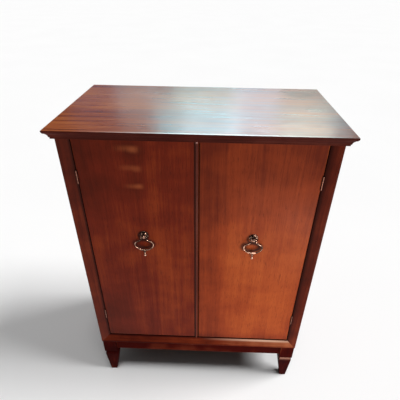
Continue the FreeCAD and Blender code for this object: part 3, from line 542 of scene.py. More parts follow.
def turned(profile, centre, axis, around):
    # A profile (radius, height, wear) spun about an axis: centre + height A + radius (cos a U + sin a V)
    frames = {"z": ((1, 0, 0), (0, 1, 0), (0, 0, 1)), "front": ((1, 0, 0), (0, 0, 1), (0, -1, 0))}
    first, second, third = np.array(frames[axis], float)
    angle = np.linspace(0, 2 * math.pi, around, endpoint=False)[:, None]
    spoke = np.cos(angle) * first + np.sin(angle) * second
    profile = np.asarray(profile, float)
    rings = np.asarray(centre, float) + profile[:, None, 1:2] * third + profile[:, None, :1] * spoke
    return rings, np.repeat(profile[:, 2:], around, axis=1)


def arcProfile(centre, radius, fromDegrees, toDegrees, wearAndPaintedLight=1.0, steps=10):
    # Points of a turned profile on a circle; degrees run anticlockwise from the outward direction
    angle = np.radians(np.linspace(fromDegrees, toDegrees, steps + 1))
    return np.column_stack((centre + radius * circle(angle), np.full(steps + 1, wearAndPaintedLight)))


def ringFaces(levels, around, start=0):
    # Quads join each ring to the next, and a flat face closes each end
    index = start + np.arange(levels * around).reshape(levels, around)
    following = np.roll(index, -1, axis=1)
    quads = np.stack((index[:-1], following[:-1], following[1:], index[1:]), -1).reshape(-1, 4)
    return quads.tolist() + [index[0, ::-1].tolist(), index[-1].tolist()]


mending = {"merge": 0.002 * mm, "smoothUnder": 40}  # distance, and degrees


def makePiece(name, parts, materials, body, replaced, pick=None, smoothUnder=mending["smoothUnder"]):
    # parts are ring sets (points, wear), and pick chooses a face's material from its centre and normal
    points, faces, wearAndPaintedLightParts, count = [], [], [], 0
    for rings, wearAndPaintedLight in parts:
        faces += ringFaces(*rings.shape[:2], count)
        points.append(rings.reshape(-1, 3))
        wearAndPaintedLightParts.append(np.broadcast_to(wearAndPaintedLight, rings.shape[:2]).reshape(-1))
        count += len(points[-1])
    mesh = bpy.data.meshes.new(name)
    mesh.from_pydata(np.concatenate(points), [], faces)
    attribute = mesh.attributes.new("wearAndPaintedLight", "FLOAT", "POINT")
    attribute.data.foreach_set("value", np.concatenate(wearAndPaintedLightParts).astype(np.float32))
    tidy = bmesh.new()
    tidy.from_mesh(mesh)
    bmesh.ops.remove_doubles(tidy, verts=tidy.verts, dist=mending["merge"])
    bmesh.ops.dissolve_degenerate(tidy, edges=tidy.edges, dist=mending["merge"])
    tidy.to_mesh(mesh)
    tidy.free()
    mesh.shade_smooth()
    mesh.set_sharp_from_angle(angle=math.radians(smoothUnder))
    for material in materials:
        mesh.materials.append(material)
    if pick:
        centres, normals = np.zeros((2, len(mesh.polygons) * 3))
        mesh.polygons.foreach_get("center", centres)
        mesh.polygons.foreach_get("normal", normals)
        chosen = pick(centres.reshape(-1, 3), normals.reshape(-1, 3))
        mesh.polygons.foreach_set("material_index", chosen.astype(np.int32))
    piece = addObject(name, mesh)
    weigh = piece.modifiers.new("even shading", "WEIGHTED_NORMAL")
    weigh.keep_sharp = True
    weigh.weight = 100
    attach(piece, body)
    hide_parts(*replaced)
    return piece


def notched(piece, boxes):
    # Takes boxes out of a piece, one boolean each, and keeps the result as its mesh
    shading = piece.modifiers["even shading"]
    shading.show_viewport = False
    for box in boxes:
        mesh = bpy.data.meshes.new("cutter")
        mesh.from_pydata(board(box, 0.0)[0].reshape(-1, 3), [], ringFaces(2, 4))
        cutter = addObject("cutter", mesh)
        cutting = piece.modifiers.new("notch", "BOOLEAN")
        cutting.operation = "DIFFERENCE"
        cutting.solver = "EXACT"
        cutting.object = cutter
        bpy.context.view_layer.update()
        shown = piece.evaluated_get(bpy.context.evaluated_depsgraph_get())
        result = bpy.data.meshes.new_from_object(shown)
        piece.modifiers.remove(cutting)
        piece.data = result
        bpy.data.objects.remove(cutter)
    shading.show_viewport = True
    piece.data.set_sharp_from_angle(angle=math.radians(mending["smoothUnder"]))


def nodeBox(name):
    return np.array(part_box(name))


print("shapes and finishes ready")


# Materials

# A near-white painted highlight along the front arris of the top
topPaintedHighlight = ("x", 0.05, 0.37, (0.82, 0.84, 0.84))
topVeneer = wood(
    "top_veneer", "top", "x", (0.4, 1.7, 0.2), lacquer=0.7, roughness=0.34, specular=0.5, bump=0.15,
    tint=(1.0, 1.0, 1.0, 1.0), spread=(1.8, -0.545), glossLines=0.07, edgeShine=topPaintedHighlight,
    weights={"ribbon": 0.26, "streak": 0.50, "thread": 0.16, "fibre": 0.06, "mottle": 0.06, "cloud": 0.28},
    bands=(("x", 0.20, 0.42, -0.12), ("x", 0.38, 0.11, -0.16)),
    halos=((0.305, 0.152, 0.024, 0.020, 0.036, 0.55),), haloAxis="y")  # a faint round mark
mouldingFront = wood("moulding_front", "moulding", "x", (3.1, 0.6, 0.9), lacquer=0.01, specular=0.05,
                     edgeShine=topPaintedHighlight)
mouldingSide = wood("moulding_side", "moulding", "y", (5.2, 0.3, 1.1), specular=0.05)


def doorPaintedShade(pull, seam, shadeStripReach):
    # Painted shadows round the rosette and under the bail, and painted shade along the gaps by the other
    # door, the bead and the rail
    return {
        "halos": ((pull - 0.003, 0.675, 0.014, 0.014, 0.007, 0.95),
                  (pull - 0.003, 0.645, 0.025, 0.014, 0.010, 0.95)),
        "seams": (("x", seam, shadeStripReach), ("z", 0.2171, 0.0026)),
        "front": -0.19,
    }


# Painted shade darkens both doors at the top under the top's overhang and along the rail's gap; painted light
# lightens the right door towards its right edge and its bottom
doorVeneer = {
    "left": wood(
        "door_left_veneer", "doorLeft", "z", (0.7, 4.1, 0.3), **doorPaintedShade(-0.162, -0.0118, 0.0036),
        bands=(("x", -0.09, 0.09, 0.07), ("z", 0.98, 0.25, -0.06), ("x", -0.33, 0.06, -0.01),
               ("z", 0.217, 0.04, -0.04), ("z", 0.46, 0.22, -0.035)),
        marks=((-0.186, 0.951, 0.046, 0.013, 0.32), (-0.169, 0.948, 0.021, 0.015, 0.45),
               (-0.184, 0.897, 0.040, 0.013, 0.26), (-0.164, 0.894, 0.019, 0.014, 0.32),
               (-0.178, 0.842, 0.034, 0.011, 0.28), (-0.162, 0.842, 0.018, 0.012, 0.40))),
    "right": wood(
        "door_right_veneer", "doorRight", "z", (2.9, 1.4, 2.2), **doorPaintedShade(0.162, 0.0005, 0.0042),
        bands=(("x", 0.24, 0.22, 0.06), ("z", 0.30, 0.60, 0.03), ("z", 0.98, 0.30, -0.08),
               ("x", 0.0, 0.14, -0.10), ("z", 0.217, 0.04, -0.09), ("x", 0.275, 0.06, 0.03))),
}
# Shade is painted along each stile's edge by the door gap, and darkens the right stile's top under the top's
# overhang
stileWood = {
    "left": wood("left_stile_wood", "frame", "z", (1.9, 2.8, 0.5), specular=0.10, spread=(1.7, -0.41),
                 bands=(("z", 0.35, 0.40, -0.07),), seams=(("x", -0.327, 0.0080),)),
    "right": wood("right_stile_wood", "frame", "z", (3.7, 0.6, 1.2), specular=0.06, spread=(1.7, -0.41),
                  bands=(("x", 0.352, 0.012, 0.08), ("z", 0.96, 0.22, -0.10)), seams=(("x", 0.327, 0.0150),)),
}
# Shade is painted along the rail's head by the door gap and a pale highlight on the right of its slope; it is
# also darker at the left and towards its foot
railWood = wood("rail_wood", "rail", "x", (0.2, 3.3, 1.4), lacquer=0.01, specular=0.04, rub=0.0,
                bands=(("x", 0.25, 0.25, 0.05), ("x", -0.25, 0.25, -0.16), ("z", 0.181, 0.012, -0.16),
                       ("z", 0.2153, 0.010, -0.12)),
                edgeShine=("x", 0.24, 0.24, (0.46, 0.29, 0.21)), seams=(("z", 0.2153, 0.0040),))
apronFront = wood("apron_front", "base", "x", (0.8, 1.1, 0.4), lacquer=0.0, specular=0.01,
                  bands=(("x", -0.30, 0.20, -0.12), ("x", 0.0, 0.2, 0.08), ("x", 0.30, 0.12, -0.10)))
apronSide = wood("apron_side", "base", "y", (2.2, 0.8, 3.7), lacquer=0.0, specular=0.01)
# A painted highlight on the right legs' ledges, and painted shade on the arrises
legWood = wood("leg_wood", "base", "z", (4.4, 1.2, 2.5), lacquer=0.0, specular=0.01, rub=0.0,
               spread=(2.2, -0.71), bands=(("x", 0.35, 0.30, -0.03), ("x", -0.31, 0.05, -0.09)),
               edgeShine=("x", 0.32, 0.20, (0.37, 0.19, 0.14)))
# A painted highlight on the bead's head
beadWood = wood("bead_wood", "frame", "z", (0.9, 5.5, 1.6), lacquer=0.15,
                edgeShine=("z", 0.975, 0.006, (0.6, 0.32, 0.28)))
sideVeneer = wood("side_veneer", "doorLeft", "z", (6.1, 0.9, 1.8))
floorBoardWood = wood("floor_board_wood", "inner", "x", (3.3, 1.9, 0.8), lacquer=0.1, roughness=0.5,
                      seams=(("z", 0.1823, 0.007),))  # its underside is painted dark: painted shade
innerWood = wood("inner_wood", "inner", "x", (1.1, 2.1, 4.9), lacquer=0.1, roughness=0.5)
antiqueBrass = metal("antiqueBrass")
hingeBrass = metal("hingeBrass", knuckleFront=-0.1925)
screwSteel = metal("screwSteel")
strikeSteel = metal("strikeSteel")
catchPlastic = mouldedPlastic("catch_plastic")


# Top: a veneered board with moulded strips mitred round its front and sides

topEdge = {
    "arris": 1.2 * mm,
    "noseRadius": 10 * mm,
    "noseHeight": 9 * mm,
    "quirk": (2.6 * mm, 1.8 * mm),  # width and height
    "cove": (5 * mm, 9.6 * mm),
    "coveRadius": 12 * mm,
    "fillet": 2 * mm,
    "softening": 0.4 * mm,
    "boardArris": 0.8 * mm,
    "guard": 0.25 * mm,
    "paintedHighlight": (4.95 * mm, 9 * mm),  # in from the front, where the painted highlight is full and where it ends
    "highlightDepth": 0.3 * mm,        # below the top face
    "plainDepth": 2 * mm,
    "veneerDepth": 0.5 * mm,        # faces that look up from within this depth are veneer
}


def arcBetween(start, end, radius, bulge, steps=10):
    # The short arc from start to end; bulge 1 has its centre on the left of the way from start to end
    start, end = np.array(start), np.array(end)
    half = (end - start) / 2
    span = np.linalg.norm(half)
    left = np.array((-half[1], half[0])) / span
    centre = start + half + left * bulge * math.sqrt(radius ** 2 - span ** 2)
    first = math.atan2(*(start - centre)[::-1])
    sweep = 2 * math.asin(span / radius) * bulge
    angle = first + sweep * np.linspace(0, 1, steps + 1)[1:-1]
    return centre + radius * circle(angle)


def mouldingSection(width, thickness):
    # Across is measured inwards from the outer edge, and down from the top face
    edge = topEdge
    arris, soft, height, radius = edge["arris"], edge["softening"], edge["noseHeight"], edge["noseRadius"]
    highlightFull, highlightEnd = edge["paintedHighlight"]
    noseIn = radius - math.sqrt(radius ** 2 - (height - arris) ** 2)
    quirkIn, quirkFoot = noseIn + edge["quirk"][0], height + edge["quirk"][1]
    coveIn, coveFoot = quirkIn + edge["cove"][0], quirkFoot + edge["cove"][1]
    bandIn = coveIn + edge["fillet"]
    parts = [
        ([(width, 0), (highlightEnd, 0), (highlightFull, 0)], 0),
        ([(0, 0)], arris),
        (arcBetween((0, arris), (noseIn, height), radius, -1), 0),
        ([(noseIn, height), (quirkIn, height), (quirkIn, quirkFoot)], soft),
        (arcBetween((quirkIn, quirkFoot), (coveIn, coveFoot), edge["coveRadius"], 1), 0),
        ([(coveIn, coveFoot), (bandIn, coveFoot), (bandIn, thickness)], soft),
        ([(width, thickness)], 0),
    ]
    points = np.concatenate([np.array(group, float) for group, rounding in parts])
    radii = np.concatenate([np.full(len(group), rounding) for group, rounding in parts])
    return points, radii


def makeTop():
    low, high = nodeBox("top_panel")
    soft, guard = topEdge["boardArris"], topEdge["guard"]
    panel = bar([(low[1], low[2]), (high[1], low[2]), (high[1], high[2]), (low[1], high[2])],
                [0, soft, soft, 0], "x", (low[0], 0, 0), (high[0], 0, 0))
    makePiece("top_board", [panel], [topVeneer], "case", ["top_panel"])

    veneerFoot = high[2] - topEdge["veneerDepth"]

    def veneerOrMoulding(centres, normals):
        return np.where((normals[:, 2] > 0.9) & (centres[:, 2] > veneerFoot), 0, 1)

    outer, rear = nodeBox("top_edge_front")[0], nodeBox("top_edge_left")[1]
    section, radii = mouldingSection(low[1] - outer[1], high[2] - low[2])
    half = abs(outer[0])
    # The front strip ends on the two mitres: its half length shrinks as its section goes inwards
    front, wearAndPaintedLight = bar(np.stack((outer[1] + section[:, 0], high[2] - section[:, 1]), -1), radii, "x",
                      (-half - outer[1], 1, 0), (half + outer[1], -1, 0), guard=guard)
    inwards, down = front[..., 1] - outer[1], high[2] - front[..., 2]
    # A painted highlight along the front arris of the top face
    highlighted = (down < topEdge["highlightDepth"]) & (inwards < sum(topEdge["paintedHighlight"]) / 2)
    wearAndPaintedLight = np.where(highlighted, 2.0, np.where(down < topEdge["plainDepth"], 0, wearAndPaintedLight * 0.5))
    makePiece("front_moulding", [(front, wearAndPaintedLight)], [topVeneer, mouldingFront], "case",
              ["top_edge_front"], veneerOrMoulding)
    for side, way in sides.items():
        corners = np.stack((high[2] - section[:, 1], (half - section[:, 0]) * way), -1)
        strip = bar(corners, radii, "y", (outer[1] + half, 0, -way), (rear[1], 0, 0), guard=guard)
        makePiece(f"{side}_moulding", [strip], [topVeneer, mouldingSide], "case",
                  [f"top_edge_{side}"], veneerOrMoulding)


makeTop()
print("top made")


# Frame round the doors: stiles and rail slope back to the doors and are mitred at the bottom corners

doorFrame = {
    "flat": 4 * mm,         # the narrow flat along the outer edge
    "bevelDepth": 10 * mm,
    "arris": 0.9 * mm,
    "guard": 1 * mm,
    "paintedShade": 1 * mm,        # how far painted shade reaches from the door gap
    "sheen": ((0.12, 2.0), (0.30, 1.7), (0.62, 0.0)),  # places down the rail's slope, and the value there for its painted sheen
    "sheenMargin": 0.1 * mm,
    "rubbed": (0.6, 0.15),  # wear on the arrises of the stiles and the rail
}
hingeLevels = ("upper", "lower")
hingeRoom = {
    "leafWall": 1.3 * mm,   # from the pin's axis to the wood behind a leaf
    "clearance": 0.2 * mm,  # round the knuckles and beyond the pin's heads
    "overlap": 3 * mm,      # past the pin's axis, away from the wood
    "front": 12 * mm,       # in front of the pin
}


def hingeBoxes(side, part):
    # The seat of each leaf and the room in front of it for the knuckles, as boxes to cut away
    way = sides[side] if part == "frame" else -sides[side]  # from the pin towards the wood
    clearance, overlap = hingeRoom["clearance"], hingeRoom["overlap"]
    boxes = []
    for level in hingeLevels:
        leafLow, leafHigh = nodeBox(f"{level}_{side}_hinge_{part}_leaf")
        pinLow, pinHigh = nodeBox(f"{level}_{side}_hinge_pin")
        pin = (pinLow[0] + pinHigh[0]) / 2
        knuckleWall = (pinHigh[0] - pinLow[0]) / 2 + clearance
        front = pinLow[1] - hingeRoom["front"]
        for wall, back, low, high in (
                (hingeRoom["leafWall"], leafHigh[1], leafLow[2], leafHigh[2]),
                (knuckleWall, pinHigh[1] + clearance, pinLow[2] - clearance, pinHigh[2] + clearance)):
            ends = sorted((pin - way * overlap, pin + way * wall))
            boxes.append(((ends[0], front, low), (ends[1], back, high)))
    return boxes


def makeDoorFrame():
    shape = doorFrame
    low, (half, back, head) = nodeBox("bottom_rail")
    front, foot = low[1:]
    soft, flat, guard = shape["arris"], shape["flat"], shape["guard"]
    rubbedStile, rubbedRail = shape["rubbed"]
    inner = half - (head - foot)
    slopeEnd = front + shape["bevelDepth"]
    for side, way in sides.items():
        top = nodeBox(f"stile_{side}")[1][2]
        corners = [(half * way, front), (half * way, back), (inner * way, back),
                   (inner * way, slopeEnd), ((half - flat) * way, front)]
        stile, wearAndPaintedLight = bar(corners, [soft, 0, 0, soft, soft], "z", (foot + half, -way, 0), (top, 0, 0),
                          guard=guard)
        # Shade is painted on the stile along the door gap; the other arrises are rubbed
        besideDoor = np.abs(stile[..., 0]) < inner + shape["paintedShade"]
        wearAndPaintedLight = np.where(besideDoor, -1.0, np.where(wearAndPaintedLight > 0, rubbedStile, 0))
        piece = makePiece(f"{side}_stile", [(stile, wearAndPaintedLight)], [stileWood[side]], "case",
                          [f"stile_{side}"])
        notched(piece, hingeBoxes(side, "frame"))
    slope = np.array([(slopeEnd, head), (front, foot + flat)])
    sheen = np.array(shape["sheen"])
    onSlope = slope[0] + sheen[:, :1] * (slope[1] - slope[0])
    corners = [(front, foot), (back, foot), (back, head), slope[0], *onSlope, slope[1]]
    rail, wearAndPaintedLight = bar(corners, [soft, 0, 0, soft, 0, 0, 0, soft], "x", (-half - foot, 0, 1),
                     (half + foot, 0, -1), guard=guard)
    # Shade is painted on the head's arris by the door gap, and the painted sheen starts just below it
    aboveSheen = rail[..., 2] > onSlope[0, 1] + shape["sheenMargin"]
    wearAndPaintedLight = np.where(aboveSheen, -0.5, np.where(wearAndPaintedLight > 0, rubbedRail, 0))
    for level, amount in zip(onSlope[:, 1], sheen[:, 1]):
        wearAndPaintedLight = np.where(np.isclose(rail[..., 2], level), amount, wearAndPaintedLight)
    makePiece("sloped_rail", [(rail, wearAndPaintedLight)], [railWood], "case", ["bottom_rail"])


makeDoorFrame()
print("door frame made")


# Doors with eased edges, and the bead on the left one's meeting edge

doorShape = {"arris": 1.1 * mm}
beadShape = {
    "quirk": 0.6 * mm,
    "ease": 1.2 * mm,
    "steps": 28,
    "crest": 0.2,      # share of the width over which the pale crest, partly rubbed and partly a painted highlight, turns to painted shade
    "paintedHighlight": 5 * mm,  # a painted highlight on the head
}


def makeDoors():
    for side in sides:
        panel = board(nodeBox(f"door_{side}"), doorShape["arris"])
        piece = makePiece(f"{side}_door", [panel], [doorVeneer[side]], f"{side}_door",
                          [f"door_{side}"])
        notched(piece, hingeBoxes(side, "door"))


def makeBead():
    # Section: a half circle standing on short straight sides that step in at the door's face
    shape = beadShape
    low, high = nodeBox("meeting_bead")
    width = high[0] - low[0]
    radius, quirk = width / 2, shape["quirk"]
    angle = np.linspace(math.pi, 2 * math.pi, shape["steps"] + 1)
    arc = low[:2] + radius + radius * circle(angle)
    section = np.concatenate((arc, [(high[0] - quirk, high[1]), (low[0] + quirk, high[1])]))
    start, end = (low[2], 0, 0), (high[2], 0, 0)
    rings = bar(section, np.zeros(len(section)), "z", start, end, (0.0, shape["ease"]))[0]
    # The crest is pale, partly rubbed and partly a painted highlight; painted shade on the flanks, and a
    # painted highlight on the head
    crest = 1 - 2 * np.sqrt(np.clip((rings[..., 1] - low[1]) / (width * shape["crest"]), 0, 1))
    crest = np.where((rings[..., 2] > high[2] - shape["paintedHighlight"]) & (crest > -0.5), 2.0, crest)
    makePiece("meeting_bead_moulding", [(rings, crest)], [beadWood], "left_door",
              ["meeting_bead"], smoothUnder=30)


makeDoors()
makeBead()
print("doors made")


# Base: legs with a square block, a waist and a tapered foot, joined by aprons

legShape = {
    "waist": (4 * mm, 61.3 * mm, 5 * mm),  # inset, drop below the case, height
    "hollow": 0.6 * mm,                    # how far the waist is hollowed
    "shoulder": (1.2 * mm, 15 * mm),       # inset at the widest, height
    "arris": 1.2 * mm,
    "soleBand": 0.5 * mm,                  # the lowest face's corners are within this of the floor
}
apronShape = {"arris": 0.8 * mm}


def soleBox(name):
    # The corners of a leg's lowest face, read from its solid
    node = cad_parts[name]
    points = np.zeros(len(node.data.vertices) * 3, np.float32)
    node.data.vertices.foreach_get("co", points)
    points = points.reshape(-1, 3)
    sole = points[points[:, 2] < legShape["soleBand"]]
    return sole.min(0), sole.max(0)


def makeLeg(end, side):
    # Square rings from the floor up: each side of the square has its own inset at every level
    shape = legShape
    name = f"leg_{end}_{side}"
    low, high = nodeBox(name)
    soleLow, soleHigh = soleBox(name)
    waistIn, blockDrop, waistHeight = shape["waist"]
    shoulderIn, shoulderHeight = shape["shoulder"]
    arris = shape["arris"]
    blockFoot = high[2] - blockDrop
    waistFoot = blockFoot - waistHeight
    widest = waistFoot - shoulderHeight
    quarter = np.linspace(0, math.pi / 2, 7)
    bow = np.linspace(0, math.pi, 9)[1:-1]
    rise, inwards = 1 - np.cos(quarter), 1 - np.sin(quarter)

    # Rounded toe, convex shoulder over the taper, hollow waist, and rounded lower edge of the block
    levels = np.concatenate((arris * rise, widest + shoulderHeight * np.sin(quarter),
                             waistFoot + waistHeight / 2 * (1 - np.cos(bow)), blockFoot + arris * rise,
                             high[2:]))
    above = np.concatenate((shoulderIn + (waistIn - shoulderIn) * rise,
                            waistIn + shape["hollow"] * np.sin(bow), arris * inwards, [0]))
    toe = np.concatenate((soleLow[:2] - low[:2], high[:2] - soleHigh[:2])) + arris * inwards[:, None]
    left, front, right, back = np.concatenate((toe, np.repeat(above[:, None], 4, axis=1))).T
    left, front, right, back = low[0] + left, low[1] + front, high[0] - right, high[1] - back
    corners = np.array(((left, front), (right, front), (right, back), (left, back))).transpose(2, 0, 1)
    section, rubbed = filleted(corners, [arris] * 4, np.zeros(len(levels)))
    rings = standing("z", section[..., 0], section[..., 1], levels[:, None])

    # A painted highlight on the ledge fades down the shoulder, and shade is painted on the arrises
    share = (levels - widest) / shoulderHeight
    ledge = np.where((share > -0.01) & (share < 1.01), 1 + np.clip(share, 0, 1) ** 2, 0)[:, None]
    makePiece(f"{end}_{side}_leg", [(rings, np.where(rubbed > 0, -0.5, ledge))], [legWood], "case",
              [name])


def makeApron(place, along, material):
    apron = board(nodeBox(f"apron_{place}"), apronShape["arris"], along)
    makePiece(f"{place}_apron", [apron], [material], "case", [f"apron_{place}"])


def makeBase():
    for end in ("front", "back"):
        for side in sides:
            makeLeg(end, side)
        makeApron(end, "x", apronFront)
    for side in sides:
        makeApron(side, "y", apronSide)


makeBase()
print("base made")


# Pulls: a ringed rosette, a turned post and a shaped bail with a grip and a turned drop

rosetteShape = {
    "backRadius": 12.8 * mm,
    "rim": (13 * mm, 1.1 * mm),    # outer radius, and radius of the half-round rim
    "quirk": (10.5 * mm, 1 * mm),  # radius and height of the groove inside the rim
    "hollow": (10.1 * mm, 5.6 * mm),  # radii between which the face climbs to the seat
    "climb": 2.2,
    "seat": (5 * mm, 0.5 * mm),    # radius, and rounding of its edge
    "height": 3.2 * mm,
}
postShape = {
    "tailRadius": 2 * mm,
    "collar": (7.5 * mm, 2 * mm),  # outer radius, and radius of its rounded edge
    "flare": ((5 * mm, 3.9 * mm), (3.7 * mm, 4.4 * mm)),  # radii and heights above the rosette
    "neck": 3.4 * mm,
    "head": 5.5 * mm,
    "reach": 12 * mm,              # from the door's face to the bail's pivot
}
bailShape = {
    "pinGap": 1 * mm,
    "arm": 8 * mm,
    "elbow": 2.5 * mm,
    "neck": 3.5 * mm,
    "shoulder": 8 * mm,
    "cheek": 12 * mm,
    "lean": 60,                # degrees
    "halfWidth": 27.5 * mm,
    "drop": 49 * mm,
    "rod": 1.8 * mm,
    "grip": (8 * mm, 3 * mm),  # half length and radius
    "beads": ((8 * mm, 0.8 * mm, 0.7 * mm), (13 * mm, 1.3 * mm, 0.84 * mm)),  # place, width and height
    "swell": (26.95 * mm, 10 * mm, 0.15 * mm),  # of the cheeks: drop, width and height
    "lowPart": 0.8,            # the grip and beads are below this share of the drop
    "rubbedFrom": (0.0, -0.80, 0.60),
    "rubbing": (-1.0, 1.7),    # wear behind and where it is rubbed most
}
finialShape = {
    "drop": 18 * mm,    # from the bail's lowest line to the middle of the ball
    "ball": 4.5 * mm,
    "bead": 3.3 * mm,
    "beadRaise": -0.6 * mm,
    "neck": 2.1 * mm,
    "neckEnd": 3 * mm,  # above the middle of the bead
    "flare": (0.5 * mm, 1.2 * mm),  # how much wider the neck ends, and how far below the rod
}


def makeRosette(side, centre):
    # Flat back, half-round rim and a quirk, then a hollow that climbs to the seat as share ** climb
    shape = rosetteShape
    height = shape["height"]
    outer, rim = shape["rim"]
    start, end = shape["hollow"]
    seat, soft = shape["seat"]
    share = np.linspace(0, 1, 12)
    climb = rim + (height - rim) * share ** shape["climb"]
    profile = np.concatenate((
        [(0, 0, -1), (shape["backRadius"], 0, -1)],
        arcProfile((outer - rim, rim), rim, -35, 175, 0.3),
        [(*shape["quirk"], -1)],
        np.stack((start + (end - start) * share, climb, 0.2 * share), -1),
        arcProfile((seat, height - soft), soft, 60, 90, 0.8, 4),
        [(0, height, 0)],
    ))
    brassPiece(side, "rosette_plate", [turned(profile, centre, "front", 48)], "door", "rosette")


def makePost(side, centre):
    # Tail, collar, flare and neck, then a ball head from where its circle meets the neck
    shape = postShape
    height = rosetteShape["height"]
    tail = nodeBox(f"{side}_pull_post")[1][1] - centre[1]
    collar, edge = shape["collar"]
    meets = math.degrees(math.acos(shape["neck"] / shape["head"]))
    profile = np.concatenate((
        [(0, -tail, 0), (shape["tailRadius"], -tail, 0), (shape["tailRadius"], height, -1)],
        arcProfile((collar - edge, height + edge), edge, -90, 60, 0.5),
        [(radius, height + above, -1) for radius, above in shape["flare"]],
        arcProfile((0, shape["reach"]), shape["head"], -meets, 90, 0.45, 22),
    ))
    brassPiece(side, "turned_post", [turned(profile, centre, "front", 40)], "door", "post")


def bailLine(steps=14):
    # Half of the centre line from the pin to the bottom, by straight runs and arcs, then its mirror image
    shape = bailShape
    lean = math.radians(shape["lean"])
    bends = shape["shoulder"] + shape["cheek"]
    run = (shape["halfWidth"] - shape["arm"] - bends * (1 - math.cos(lean))) / math.sin(lean)
    widest = shape["elbow"] + shape["neck"] + bends * math.sin(lean) + run * math.cos(lean)
    rise = shape["drop"] - widest
    share = math.sin(math.pi / 4)
    flat = (shape["halfWidth"] - rise * (1 - share) / share) / (share - (1 - share) ** 2 / share)
    corner = (rise - flat * (1 - share)) / share
    course = [(shape["arm"] - shape["elbow"] - shape["pinGap"], 0), (shape["elbow"], -math.pi / 2),
              (shape["neck"], 0), (shape["shoulder"], lean), (run, 0), (shape["cheek"], -lean),
              (corner, -math.pi / 4), (flat, -math.pi / 4)]
    point, heading = np.array([shape["pinGap"], 0.0]), 0.0
    line = [point[None]]
    share = np.linspace(0, 1, steps + 1)[1:, None]
    for length, turn in course:
        if turn == 0:
            points = point + share * length * circle(heading)
        else:
            way = math.copysign(1, turn)
            centre = point + length * way * circle(heading + math.pi / 2)
            points = centre + length * circle(heading + turn * share[:, 0] - way * math.pi / 2)
            heading += turn
        line.append(points)
        point = points[-1]
    half = np.concatenate(line)
    return np.concatenate((half, half[-2::-1] * (-1, 1)))


def rodSurface(line, radius, origin, around=18):
    # A round rod along a line in an upright plane: line + radius n, where n = cos a N + sin a B is square
    # to the line
    tangent = unit(np.gradient(line, axis=0))
    angle = np.linspace(0, 2 * math.pi, around, endpoint=False)
    outward = np.stack(np.broadcast_arrays(-tangent[:, 1:] * np.cos(angle), -np.sin(angle),
                                           tangent[:, :1] * np.cos(angle)), -1)
    spine = origin + np.insert(line, 1, 0, axis=1)
    return spine[:, None] + radius[:, None, None] * outward, outward


def hump(away, width, height):
    # height exp(-(away / width) ** 2)
    return height * np.exp(-(away / width) ** 2)


def brassPiece(side, name, parts, body, node):
    makePiece(f"{side}_{name}", parts, [antiqueBrass], f"{side}_{body}",
              [f"{side}_pull_{node}"])


def finialProfile():
    # Ball, neck and bead, each a circle up to where it meets the neck, and a flare into the rod
    shape = finialShape
    neck, bead, ball = shape["neck"], shape["bead"], shape["ball"]
    foot = -bailShape["drop"]
    ballLevel = foot - shape["drop"]
    beadLevel = (foot + ballLevel + ball) / 2 + shape["beadRaise"]
    meetsBall, meetsBead = (math.degrees(math.acos(neck / radius)) for radius in (ball, bead))
    flare, below = shape["flare"]
    return np.concatenate((
        arcProfile((0, ballLevel), ball, -90, meetsBall, 1.7, 20),
        arcProfile((0, beadLevel), bead, -meetsBead, meetsBead, 0.6, 10),
        [(neck, beadLevel + shape["neckEnd"], -0.5), (neck + flare, foot - below, 0.2), (0, foot, 0)],
    ))


def makeBail(side, centre):
    # The rod swells a little at the cheeks, and into a ringed grip at the bottom
    shape = bailShape
    line = bailLine()
    fromMiddle = np.abs(line[:, 0])
    low = line[:, 1] < -shape["drop"] * shape["lowPart"]
    gripHalf, gripRadius = shape["grip"]
    grip = (gripRadius - shape["rod"]) * np.sqrt(np.clip(1 - (fromMiddle / gripHalf) ** 2, 0, None))
    beads = sum(hump(fromMiddle - place, width, height) for place, width, height in shape["beads"])
    cheekDrop, *cheek = shape["swell"]
    radius = shape["rod"] + low * (grip + beads) + hump(line[:, 1] + cheekDrop, *cheek)
    pivot = centre + np.array((0, -postShape["reach"], 0))
    rod, outward = rodSurface(line, radius, pivot)
    least, most = shape["rubbing"]
    wearAndPaintedLight = least + (most - least) * np.clip(outward @ np.array(shape["rubbedFrom"]), 0, 1) ** 2
    brassPiece(side, "bail", [(rod, wearAndPaintedLight), turned(finialProfile(), pivot, "z", 28)], "bail", "bail")


for side in sides:
    rosetteLow, rosetteHigh = nodeBox(f"{side}_pull_rosette")
    centre = (rosetteLow + rosetteHigh) / 2
    centre[1] = rosetteHigh[1]
    makeRosette(side, centre)
    makePost(side, centre)
    makeBail(side, centre)
print("pulls made")


# Solids that keep their own shape

def dress(material, names):
    for name in names:
        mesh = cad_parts[name].data
        mesh.materials.clear()
        mesh.materials.append(material)


dress(sideVeneer, ["side_panel_left", "side_panel_right"])
dress(floorBoardWood, ["bottom_panel"])
dress(innerWood, ["back_panel", "shelf", "top_rail_front", "top_rail_back"]
      + [f"corner_brace_{end}_{side}" for end in ("front", "back") for side in sides])
dress(hingeBrass, [f"{level}_{side}_hinge_{part}" for level in hingeLevels for side in sides
                   for part in ("frame_leaf", "door_leaf", "pin")])
dress(screwSteel, ["hinge_screws_case", "hinge_screws_left_door", "hinge_screws_right_door", "catch_screws",
                   "top_fixing_screws", "left_strike_screw", "right_strike_screw", "left_pull_nut",
                   "right_pull_nut"])
dress(strikeSteel, ["left_strike_plate", "right_strike_plate"])
dress(catchPlastic, ["left_catch_body", "right_catch_body"])
print("remaining solids dressed")


# Floor and light

